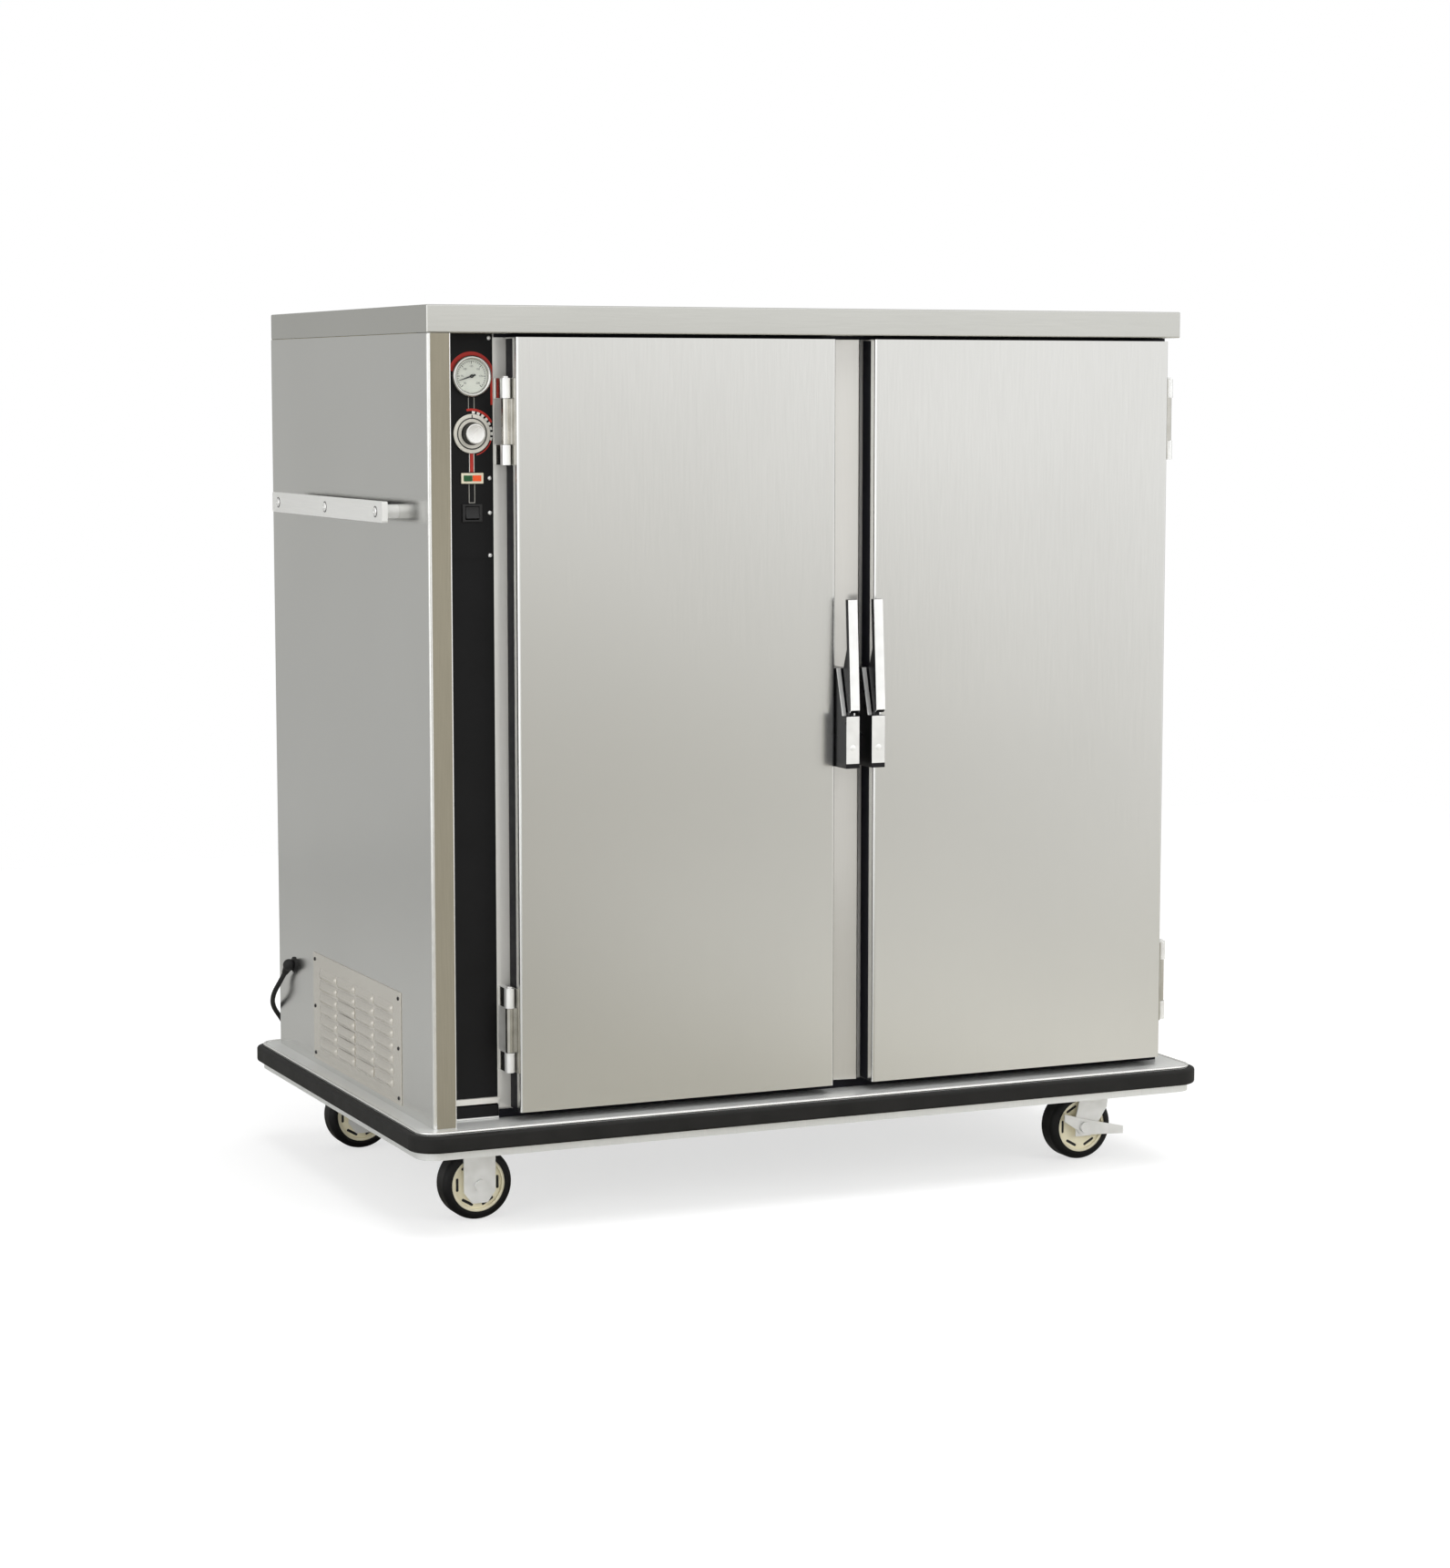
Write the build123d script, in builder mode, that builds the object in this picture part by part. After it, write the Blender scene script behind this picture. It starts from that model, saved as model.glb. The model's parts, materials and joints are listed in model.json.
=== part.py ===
"""Two-door heated holding cabinet on casters, in millimetres.

The origin is on the floor under the middle of the cabinet.
+X points to the right of someone facing the doors, +Y to the back, +Z up.
"""

import os
from math import cos, pi, radians, sin, sqrt, tan

from build123d import *

os.makedirs("parts", exist_ok=True)

# Cabinet body
body_width = 1450.0
body_depth = 884.0
body_height = 1390.0
deck_height = 188.0
cap_height = 47.0
sheet = 1.5
column_width = 158.0
post_width = 41.0
side_margin = 24.0

# Base, bumper and caster channels
deck_overhang = 33.0
deck_corner = 35.0
deck_sheet = 2.5
skirt_height = 47.0
bumper_thickness = 13.0
bumper_height = 29.0
bumper_drop = 4.0
bumper_round = 5.0
channel_width = 124.0
channel_sheet = 3.0

# Doors and gaskets
door_gap = 76.0
door_thickness = 50.0
door_bottom_gap = 16.0
door_top_gap = 6.0
door_edge_round = 5.0
door_flange = 20.0
gasket_thickness = 7.7
gasket_width = 14.0
gasket_inset = 5.0
seal_gap = 0.3

# Front frame and control column
frame_sheet = 2.0
frame_lip = 25.0
frame_stile = 21.0
jamb_depth = 25.0
sill_bar_rise = 26.0
sill_bar_height = 10.0
sill_bar_depth = 8.0
plate_sheet = 1.5
plate_length = 376.0
plate_edge = 2.0
plate_gap = 0.1

# Liner, insulation and shelving
back_insulation = 47.0
left_insulation = 25.0
slab_joint = 0.2
liner_seam = 0.1
rack_post = 20.0
rack_ledge = 12.0
rack_front_inset = 22.0
rack_back_inset = 40.0
rack_top_gap = 30.0
runner_sheet = 3.0
shelf_levels = 3
first_shelf = 290.0
shelf_pitch = 300.0
shelf_bar = 8.0
shelf_rods = 17
shelf_rod_radius = 2.5
shelf_play = 1.0

# Hinges
hinge_length = 146.0
hinge_end = 68.0
hinge_out = 12.0
hinge_back = 21.0
knuckle_length = 34.0
knuckle_radius = 9.0
door_knuckle_radius = 7.0
hinge_pin_radius = 3.5
hinge_pin_head = 3.0
hinge_pin_head_radius = 5.0
hinge_plate = 3.0
hinge_edge_plate = 2.5
hinge_arm = 8.0
hinge_lug = 12.0
hinge_plate_width = 16.0
hinge_edge_inset = 3.0
hinge_play = 0.5
shaft_play = 0.05

# Latches
latch_rise = 588.0
latch_height = 296.0
latch_width = 26.0
latch_reach = 45.0
latch_proud = 4.0
latch_back_gap = 5.0
latch_housing_height = 92.0
lever_gap = 5.0
lever_width = 17.0
lever_lean = 12.0
lever_thickness = 12.0
lever_chamfer = 5.0
lever_foot = 13.0
lever_belly_rise = 77.0
lever_belly_depth = 32.0
lever_waist_rise = 112.0
latch_slope_rise = 82.0
latch_slope_foot = 17.0
tongue_width = 8.0
tongue_radius = 8.0
pivot_back = 13.0
pivot_drop = 8.0
pivot_pin_radius = 3.0
slot_play = 0.3
strike_gap = 1.5
strike_inset = 24.0
strike_width = 16.0

# Instruments
instrument_inset = 98.0
thermometer_drop = 71.0
knob_drop = 167.5
lights_drop = 242.5
switch_drop = 301.0
bezel_radius = 35.5
bezel_proud = 8.0
bezel_floor = 1.0
bezel_round = 2.5
dial_radius = 28.3
dial_sheet = 0.8
dial_play = 0.2
can_radius = 25.0
can_depth = 22.0
lens_radius = 30.0
lens_sheet = 1.8
lens_recess = 0.4
spindle_radius = 0.8
spindle_length = 3.5
needle_length = 23.0
needle_tail = 7.0
needle_rest = 108.0
needle_width = 3.0
needle_tip = 1.0
needle_sheet = 1.0
needle_hub = 3.0
needle_lift = 1.6
thermostat_size = 50.0
thermostat_depth = 40.0
shaft_radius = 3.0
shaft_length = 18.0
panel_hole_play = 0.3
skirt_radius = 33.0
skirt_sheet = 3.0
skirt_gap = 0.6
grip_radius = 17.5
grip_height = 18.5
grip_round = 3.0
lights_width = 40.0
lights_height = 18.0
lights_proud = 3.5
light_width = 15.0
light_height = 10.0
light_spacing = 17.0
light_depth = 2.5
light_proud = 1.0
light_play = 0.1
switch_width = 36.0
switch_height = 30.0
switch_flange = 2.5
switch_body_width = 32.0
switch_body_height = 27.0
switch_body_depth = 20.0
rocker_width = 24.0
rocker_half_height = 10.0
rocker_crown = 5.5
rocker_waist = 3.5
rocker_back = 6.0
rocker_back_half = 7.0
rocker_cavity = 11.8
rocker_axis_depth = 1.5
rocker_tilt = 8.0
screw_radius = 3.6
screw_head = 2.0
plate_screw_inset = 5.0

# Push handles
handle_rise = 1043.0
handle_length = 636.0
handle_height = 36.0
handle_thickness = 10.0
handle_standoff = 29.0
handle_round = 4.0
spacer_radius = 12.0
spacer_pitch = 281.0
bolt_radius = 8.0
bolt_head = 3.0

# Louvred panel
louvre_panel_length = 500.0
louvre_panel_height = 200.0
louvre_panel_rise = 10.0
louvre_panel_shift = -27.0
louvre_sheet = 2.0
louvre_columns = 4
louvre_rows = 7
louvre_pitch_y = 106.0
louvre_pitch_z = 22.0
louvre_length = 92.0
louvre_height = 14.0
louvre_depth = 6.0
louvre_wall = 1.3
louvre_screw_inset = 12.0
louvre_screw_rows = 3
vent_margin = 28.0

# Blower and heater
fan_shift = 0.0
fan_radius = 72.0
fan_width = 40.0
fan_hub_radius = 14.0
fan_disc = 2.5
fan_blades = 12
fan_blade = 2.0
fan_wall_gap = 10.0
fan_shaft_radius = 5.0
fan_shaft_hole = 12.0
motor_radius = 45.0
motor_length = 90.0
motor_flange = 110.0
motor_flange_sheet = 3.0
motor_pocket_play = 2.0
motor_end_round = 8.0
heater_radius = 102.0
heater_rod = 4.0
heater_turn = 320.0
heater_hole_play = 0.3
heater_sleeve = 6.0
heater_wall_gap = 30.0
heater_tail = 40.0
cover_size = 262.0
cover_depth = 74.0
cover_floor_gap = 6.0
cover_hole_radius = 6.0
cover_hole_rings = 4
cover_ring_pitch = 18.0
cover_slot_height = 14.0
cover_slot_margin = 30.0

# Casters
axle_height = 63.5
tyre_width = 50.0
tyre_round = 12.0
hub_radius = 49.0
hub_width = 44.0
hub_recess_radius = 44.0
hub_web = 36.0
hub_boss_radius = 15.0
hub_slots = 6
hub_slot_circle = 37.0
hub_slot_length = 24.0
hub_slot_width = 5.0
hub_side_gap = 1.0
axle_radius = 6.0
axle_head_radius = 10.0
axle_head = 6.0
fork_gap = 54.0
fork_sheet = 4.0
fork_width = 58.0
fork_tip_width = 28.0
fork_tip_drop = 32.0
fork_shoulder_drop = 12.0
caster_plate_top = 159.0
caster_plate_sheet = 5.0
caster_plate_length = 114.0
caster_plate_width = 96.0
caster_spread = 642.0
rigid_inset = 115.0
swivel_inset = 104.0
swivel_trail = 28.0
swivel_neck_rise = 34.0
swivel_neck_out = 22.0
swivel_tip_width = 32.0
swivel_tip_drop = 18.0
race_radius = 30.0
race_height = 6.0
race_gap = 0.3
crown_sheet = 8.0
crown_half = 28.0
king_pin_radius = 7.0
king_pin_head_radius = 11.0
king_pin_head = 6.0
brake_gap = 0.3
brake_sheet = 3.0
brake_boss_radius = 15.0
brake_arm_width = 14.0
brake_tip_back = 42.0
brake_tip_rise = 20.0
brake_tread_start = 66.0
brake_tread_end = 84.0
brake_tread_drop = 12.0
brake_tread_sheet = 5.0

# Power cord, its strain relief, coil and plug
cord_diameter = 9.2
gland_from_back = 96.0
gland_rise = 167.0
gland_radius = 15.0
gland_length = 22.0
gland_round = 6.0
sleeve_start = 10.0
sleeve_end = 34.0
sleeve_root_radius = 8.5
sleeve_tip_radius = 5.6
gland_dip = 35.0
cord_lead = 30.0
cord_drop = (
    (-20.0, -18.0, 99.0),
    (-9.0, 23.0, 69.0),
    (19.0, 52.0, 36.0),
    (45.0, 69.0, -7.0),
    (69.0, 73.0, -58.0),
    (95.0, 72.0, -108.0),
)
cord_landing = ((130.0, 70.0, 33.4), (178.0, 68.0, 6.9), (231.0, 67.5, 0.0))
coil_lead = 47.0
coil_from_side = 335.0
coil_back_gap = 19.0
coil_outer = 66.0
coil_step = 11.6
coil_turns_in = 5
coil_turns_out = 3
coil_layer = 10.0
coil_exit = 86.0
plug_radius = 14.6
plug_body = 42.0
plug_neck = 10.0
plug_neck_radius = 8.0
blade_length = 18.0
blade_width = 6.3
blade_sheet = 1.5
blade_spacing = 12.7
ground_radius = 2.4
ground_offset = 8.0

# Planes and lines that the pieces share
half_width = body_width / 2
front_y = -body_depth / 2
back_y = body_depth / 2
top_z = deck_height + body_height
cap_z = top_z - cap_height
door_back_y = front_y + door_thickness
frame_y = door_back_y + gasket_thickness + seal_gap
frame_back_y = frame_y + frame_sheet
door_width = (body_width - column_width - side_margin - door_gap) / 2
left_door_x = -half_width + column_width
right_door_x = left_door_x + door_width + door_gap
door_z = deck_height + door_bottom_gap
door_top_z = cap_z - door_top_gap
stile_x = left_door_x - frame_stile
post_x = -half_width + post_width
liner_x = left_door_x + frame_lip
liner_end_x = right_door_x + door_width - frame_lip
liner_y = frame_y + jamb_depth
liner_back_y = back_y - 2 * sheet - back_insulation
liner_z = door_z + frame_lip
liner_top_z = door_top_z - frame_lip
left_opening_end = left_door_x + door_width - frame_lip
right_opening_x = right_door_x + frame_lip
skirt_z = deck_height - skirt_height
deck_under = deck_height - deck_sheet
deck_width = body_width + 2 * deck_overhang
deck_depth = body_depth + 2 * deck_overhang
plate_back_y = frame_y - plate_gap
plate_y = plate_back_y - plate_sheet
instrument_x = -half_width + instrument_inset
rigid_x = -half_width + rigid_inset
swivel_x = half_width - swivel_inset
caster_rows = {"front": -caster_spread / 2, "rear": caster_spread / 2}
plate_bottom = caster_plate_top - caster_plate_sheet
fan_y = fan_shift
fan_z = liner_z + cover_floor_gap + cover_size / 2
louvre_y = louvre_panel_shift
louvre_z = deck_height + louvre_panel_rise
handle_z = deck_height + handle_rise
handle_face = half_width + handle_standoff + handle_thickness


def save(piece, name):
    """Label a finished piece and write it to its own file."""
    piece.part.label = name
    export_step(piece.part, f"parts/{name}.step")


def block(low, high, mode=Mode.ADD):
    """Add or cut a block between its lowest and highest corners."""
    low, high = Vector(*low), Vector(*high)
    size = high - low
    with Locations((low + high) * 0.5):
        Box(size.X, size.Y, size.Z, mode=mode)


def rod(start, direction, radius, length, mode=Mode.ADD):
    """Add or cut a round rod that runs from a point along a direction."""
    with Locations(Plane(origin=start, z_dir=direction)):
        Cylinder(radius, length, align=(Align.CENTER, Align.CENTER, Align.MIN), mode=mode)


def facing_front(x, y, z):
    """Plane seen from the front, with its first axis along X and its second along Z."""
    return Plane(origin=(x, y, z), x_dir=(1, 0, 0), z_dir=(0, -1, 0))


def make_base_deck():
    """Deck pan with its turned-down skirt and the two channels that carry the casters."""
    with BuildPart() as base_deck:
        with BuildSketch(Plane.XY.offset(skirt_z)):
            RectangleRounded(deck_width, deck_depth, deck_corner)
        extrude(amount=skirt_height)
        with BuildSketch(Plane.XY.offset(skirt_z)):
            RectangleRounded(
                deck_width - 2 * deck_sheet,
                deck_depth - 2 * deck_sheet,
                deck_corner - deck_sheet,
            )
        extrude(amount=skirt_height - deck_sheet, mode=Mode.SUBTRACT)
        end_y = deck_depth / 2 - deck_sheet
        for x in (rigid_x, swivel_x):
            low_x, high_x = x - channel_width / 2, x + channel_width / 2
            block((low_x, -end_y, caster_plate_top), (high_x, end_y, deck_under))
            block(
                (low_x + channel_sheet, -end_y, caster_plate_top + channel_sheet),
                (high_x - channel_sheet, end_y, deck_under),
                Mode.SUBTRACT,
            )
    save(base_deck, "base_deck")


def make_bumper():
    """Rubber strip round the skirt, with its outer edges rounded."""
    with BuildPart() as bumper:
        with BuildSketch(Plane.XY.offset(deck_height - bumper_drop - bumper_height)):
            RectangleRounded(
                deck_width + 2 * bumper_thickness,
                deck_depth + 2 * bumper_thickness,
                deck_corner + bumper_thickness,
            )
            RectangleRounded(deck_width, deck_depth, deck_corner, mode=Mode.SUBTRACT)
        extrude(amount=bumper_height)
        faces = bumper.faces().sort_by(Axis.Z)
        fillet(
            faces[-1].outer_wire().edges() + faces[0].outer_wire().edges(),
            radius=bumper_round,
        )
    save(bumper, "bumper")


def make_shell():
    """Side panels, back panel and cap."""
    with BuildPart() as left_side_panel:
        block((-half_width, front_y, deck_height), (-half_width + sheet, back_y, cap_z))
        block((-half_width, front_y, deck_height), (post_x, front_y + sheet, cap_z))
        block((post_x - sheet, front_y, deck_height), (post_x, frame_back_y, cap_z))
        block(
            (
                -half_width,
                louvre_y - louvre_panel_length / 2 + vent_margin,
                louvre_z + vent_margin,
            ),
            (
                -half_width + sheet,
                louvre_y + louvre_panel_length / 2 - vent_margin,
                louvre_z + louvre_panel_height - vent_margin,
            ),
            Mode.SUBTRACT,
        )
    save(left_side_panel, "left_side_panel")

    with BuildPart() as right_side_panel:
        block((half_width - sheet, frame_y, deck_height), (half_width, back_y, cap_z))
    save(right_side_panel, "right_side_panel")

    with BuildPart() as back_panel:
        block(
            (-half_width + sheet, back_y - sheet, deck_height),
            (half_width - sheet, back_y, cap_z),
        )
    save(back_panel, "back_panel")

    with BuildPart() as top_cap:
        block((-half_width, front_y, cap_z), (half_width, back_y, top_z))
        block(
            (-half_width + sheet, front_y + sheet, cap_z + sheet),
            (half_width - sheet, back_y - sheet, top_z - sheet),
            Mode.SUBTRACT,
        )
        block(
            (-half_width + sheet, frame_y, cap_z),
            (half_width - sheet, back_y - sheet, cap_z + sheet),
            Mode.SUBTRACT,
        )
    save(top_cap, "top_cap")


def make_front_frame():
    """Face frame with two doorways, their jambs, and the bar at the foot of the column."""
    doorways = ((liner_x, left_opening_end), (right_opening_x, liner_end_x))
    with BuildPart() as front_frame:
        block((stile_x, frame_y, deck_height), (half_width - sheet, frame_back_y, cap_z))
        for low_x, high_x in doorways:
            block(
                (low_x - sheet, frame_back_y, liner_z - sheet),
                (high_x + sheet, liner_y, liner_top_z + sheet),
            )
        for low_x, high_x in doorways:
            block((low_x, frame_y, liner_z), (high_x, liner_y, liner_top_z), Mode.SUBTRACT)
        bar_z = deck_height + sill_bar_rise
        block(
            (post_x, frame_back_y - sill_bar_depth, bar_z),
            (stile_x, frame_back_y, bar_z + sill_bar_height),
        )
    save(front_frame, "front_frame")


def make_control_panels():
    """Dark column panel and the instrument plate over its upper end."""
    bar_top = deck_height + sill_bar_rise + sill_bar_height
    plate_top = cap_z - plate_edge
    switch_z = cap_z - switch_drop
    hole_half_width = switch_body_width / 2 + panel_hole_play
    hole_half_height = switch_body_height / 2 + panel_hole_play
    with BuildPart() as control_panels:
        block((post_x, frame_y, bar_top), (stile_x, frame_back_y, cap_z))
        block(
            (post_x + plate_edge, plate_y, plate_top - plate_length),
            (stile_x - plate_edge, plate_back_y, plate_top),
        )
        for drop, radius in ((thermometer_drop, can_radius), (knob_drop, shaft_radius)):
            rod(
                (instrument_x, plate_y, cap_z - drop),
                (0, 1, 0),
                radius + panel_hole_play,
                frame_back_y - plate_y,
                Mode.SUBTRACT,
            )
        block(
            (instrument_x - hole_half_width, plate_y, switch_z - hole_half_height),
            (instrument_x + hole_half_width, frame_back_y, switch_z + hole_half_height),
            Mode.SUBTRACT,
        )
    save(control_panels, "control_panels")


def make_lining():
    """Inner liner of five sheets and the insulation between it and the outer skins."""
    out_x, out_end_x = liner_x - sheet, liner_end_x + sheet
    out_back_y = liner_back_y + sheet
    out_z, out_top_z = liner_z - sheet, liner_top_z + sheet
    heater_ends = heater_leg_places()
    with BuildPart() as inner_liner:
        wall_z, wall_top_z = liner_z + liner_seam, liner_top_z - liner_seam
        block((out_x, liner_y, out_z), (out_end_x, out_back_y, liner_z))
        block((out_x, liner_y, liner_top_z), (out_end_x, out_back_y, out_top_z))
        block((out_x, liner_back_y, wall_z), (out_end_x, out_back_y, wall_top_z))
        for low_x, high_x in ((out_x, liner_x), (liner_end_x, out_end_x)):
            block((low_x, liner_y, wall_z), (high_x, liner_back_y - liner_seam, wall_top_z))
        rod((out_x, fan_y, fan_z), (1, 0, 0), fan_shaft_hole, sheet, Mode.SUBTRACT)
        for y, z in heater_ends:
            rod((out_x, y, z), (1, 0, 0), heater_rod + heater_hole_play, sheet, Mode.SUBTRACT)
    save(inner_liner, "inner_liner")

    slab_back_y = back_y - sheet
    slab_end_x = half_width - sheet
    pocket = motor_flange / 2 + motor_pocket_play
    slab_x = out_x - left_insulation
    with BuildPart() as left_slab:
        block((slab_x, frame_back_y, deck_height), (out_x, slab_back_y, cap_z))
        block(
            (slab_x, fan_y - pocket, fan_z - pocket),
            (out_x, fan_y + pocket, fan_z + pocket),
            Mode.SUBTRACT,
        )
        for y, z in heater_ends:
            rod((slab_x, y, z), (1, 0, 0), heater_sleeve, left_insulation, Mode.SUBTRACT)
    slabs = (
        ((out_end_x, frame_back_y, deck_height), (slab_end_x, slab_back_y, cap_z)),
        ((out_x, out_back_y, deck_height), (out_end_x, slab_back_y, cap_z)),
        ((out_x, frame_back_y, deck_height), (out_end_x, out_back_y, out_z)),
        ((out_x, frame_back_y, out_top_z), (out_end_x, out_back_y, cap_z)),
        ((-half_width + sheet, frame_y, cap_z), (slab_end_x, slab_back_y, top_z - sheet)),
    )
    with BuildPart() as insulation_slabs:
        add(left_slab.part)
        for low, high in slabs:
            shrink = Vector(slab_joint, slab_joint, slab_joint)
            block(Vector(*low) + shrink, Vector(*high) - shrink)
    save(insulation_slabs, "insulation_slabs")


def make_shelving():
    """Ladder racks that stand on the liner floor, and the wire shelves on their ledges."""
    bays = ((liner_x, left_opening_end), (right_opening_x, liner_end_x))
    levels = [liner_z + first_shelf + shelf_pitch * level for level in range(shelf_levels)]
    post_front = liner_y + rack_front_inset
    post_back = liner_back_y - rack_back_inset
    with BuildPart() as shelf_racks:
        for low_x, high_x in bays:
            sides = ((low_x, 1), (high_x, -1))
            for wall_x, inward in sides:
                post_in = wall_x + inward * rack_post
                ledge_in = post_in + inward * rack_ledge
                post_low, post_high = sorted((wall_x, post_in))
                ledge_low, ledge_high = sorted((wall_x, ledge_in))
                for y in (post_front, post_back - rack_post):
                    block(
                        (post_low, y, liner_z),
                        (post_high, y + rack_post, liner_top_z - rack_top_gap),
                    )
                for z in levels:
                    block(
                        (ledge_low, post_front, z - runner_sheet), (ledge_high, post_back, z)
                    )
    save(shelf_racks, "shelf_racks")

    shelf_front = post_front
    shelf_depth = post_back - post_front
    with BuildPart() as wire_shelves:
        for low_x, high_x in bays:
            shelf_x = low_x + rack_post + shelf_play
            shelf_end = high_x - rack_post - shelf_play
            rod_pitch = (shelf_end - shelf_x) / (shelf_rods + 1)
            for z in levels:
                block(
                    (shelf_x, shelf_front, z), (shelf_end, shelf_front + shelf_depth, z + shelf_bar)
                )
                block(
                    (shelf_x + shelf_bar, shelf_front + shelf_bar, z),
                    (shelf_end - shelf_bar, shelf_front + shelf_depth - shelf_bar, z + shelf_bar),
                    Mode.SUBTRACT,
                )
                for number in range(1, shelf_rods + 1):
                    rod(
                        (shelf_x + rod_pitch * number, shelf_front + shelf_bar / 2, z + shelf_bar / 2),
                        (0, 1, 0),
                        shelf_rod_radius,
                        shelf_depth - shelf_bar,
                    )
    save(wire_shelves, "wire_shelves")


def heater_leg_places():
    """Y and Z of the two straight legs of the ring heater."""
    half_turn = radians(heater_turn / 2)
    return [
        (fan_y + side * heater_radius * sin(half_turn), fan_z + heater_radius * cos(half_turn))
        for side in (-1, 1)
    ]


def make_blower():
    """Motor behind the liner wall, its wheel inside, the ring heater and the cover."""
    wall_x = liner_x - sheet
    with BuildPart() as blower_motor:
        half_flange = motor_flange / 2
        block(
            (wall_x - motor_flange_sheet, fan_y - half_flange, fan_z - half_flange),
            (wall_x, fan_y + half_flange, fan_z + half_flange),
        )
        rod((wall_x, fan_y, fan_z), (-1, 0, 0), motor_radius, motor_length)
        shaft_end = liner_x + fan_wall_gap + fan_width
        rod((wall_x, fan_y, fan_z), (1, 0, 0), fan_shaft_radius, shaft_end - wall_x)
        fillet(
            blower_motor.edges().filter_by(GeomType.CIRCLE).sort_by(Axis.X)[0],
            radius=motor_end_round,
        )
    save(blower_motor, "blower_motor")

    wheel_x = liner_x + fan_wall_gap
    with BuildPart(Plane(origin=(wheel_x, fan_y, fan_z), z_dir=(1, 0, 0))) as blower_wheel:
        base = (Align.CENTER, Align.CENTER, Align.MIN)
        Cylinder(fan_radius, fan_disc, align=base)
        Cylinder(fan_hub_radius, fan_width, align=base)
        blade_root = fan_hub_radius - fan_blade
        with PolarLocations(0, fan_blades):
            Box(
                fan_radius - blade_root,
                fan_blade,
                fan_width,
                align=(Align.MIN, Align.CENTER, Align.MIN),
            )
        Cylinder(fan_hub_radius - fan_blade, fan_width, align=base)
        Cylinder(fan_shaft_radius + shaft_play, fan_width, align=base, mode=Mode.SUBTRACT)
    save(blower_wheel, "blower_wheel")

    ring_x = liner_x + heater_wall_gap
    legs = heater_leg_places()
    half_turn = radians(heater_turn / 2)
    leg_length = ring_x - wall_x + left_insulation + heater_tail
    with BuildPart() as heater_element:
        with BuildSketch(
            Plane(
                origin=(ring_x, *legs[1]),
                x_dir=(1, 0, 0),
                z_dir=(0, -cos(half_turn), sin(half_turn)),
            )
        ):
            Circle(heater_rod)
        revolve(axis=Axis((ring_x, fan_y, fan_z), (1, 0, 0)), revolution_arc=heater_turn)
        for y, z in legs:
            rod((ring_x, y, z), (-1, 0, 0), heater_rod, leg_length)
            with Locations((ring_x, y, z)):
                Sphere(heater_rod)
    save(heater_element, "heater_element")

    half_cover = cover_size / 2
    slot_half = half_cover - cover_slot_margin
    cover_x = liner_x + cover_depth
    with BuildPart() as fan_cover:
        block(
            (liner_x, fan_y - half_cover, fan_z - half_cover),
            (cover_x, fan_y + half_cover, fan_z + half_cover),
        )
        block(
            (liner_x, fan_y - half_cover + sheet, fan_z - half_cover + sheet),
            (cover_x - sheet, fan_y + half_cover - sheet, fan_z + half_cover - sheet),
            Mode.SUBTRACT,
        )
        slot_x = cover_x - cover_depth / 2
        block(
            (slot_x, fan_y - slot_half, fan_z - half_cover),
            (slot_x + cover_slot_height, fan_y + slot_half, fan_z + half_cover),
            Mode.SUBTRACT,
        )
        with BuildSketch(Plane(origin=(cover_x, fan_y, fan_z), z_dir=(1, 0, 0))):
            Circle(cover_hole_radius)
            for ring in range(1, cover_hole_rings):
                with PolarLocations(ring * cover_ring_pitch, 6 * ring):
                    Circle(cover_hole_radius)
        extrude(amount=-sheet, mode=Mode.SUBTRACT)
    save(fan_cover, "fan_cover")


def hinge_places():
    """Lower end of each hinge on a door."""
    return (door_z + hinge_end, door_top_z - hinge_end - hinge_length)


def hinge_axis_x(side):
    """X of a door's hinge axis."""
    if side == "left":
        return left_door_x - hinge_out
    return right_door_x + door_width + hinge_out


def make_frame_hinges():
    """Frame leaves with their end knuckles, and the pins."""
    axis_y = front_y + hinge_back
    with BuildPart() as hinge_frame_leaves:
        for side in ("left", "right"):
            x = hinge_axis_x(side)
            for z in hinge_places():
                block(
                    (x - hinge_plate_width / 2, frame_y - hinge_plate, z),
                    (x + hinge_plate_width / 2, frame_y, z + hinge_length),
                )
                for low in (z, z + hinge_length - knuckle_length):
                    block(
                        (x - hinge_lug / 2, axis_y, low),
                        (x + hinge_lug / 2, frame_y, low + knuckle_length),
                    )
                    rod((x, axis_y, low), (0, 0, 1), knuckle_radius, knuckle_length)
                rod(
                    (x, axis_y, z),
                    (0, 0, 1),
                    hinge_pin_radius + shaft_play,
                    hinge_length,
                    Mode.SUBTRACT,
                )
    save(hinge_frame_leaves, "hinge_frame_leaves")

    with BuildPart() as hinge_pins:
        for side in ("left", "right"):
            x = hinge_axis_x(side)
            for z in hinge_places():
                rod((x, axis_y, z), (0, 0, 1), hinge_pin_radius, hinge_length)
                rod(
                    (x, axis_y, z + hinge_length),
                    (0, 0, 1),
                    hinge_pin_head_radius,
                    hinge_pin_head,
                )
    save(hinge_pins, "hinge_pins")


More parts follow.
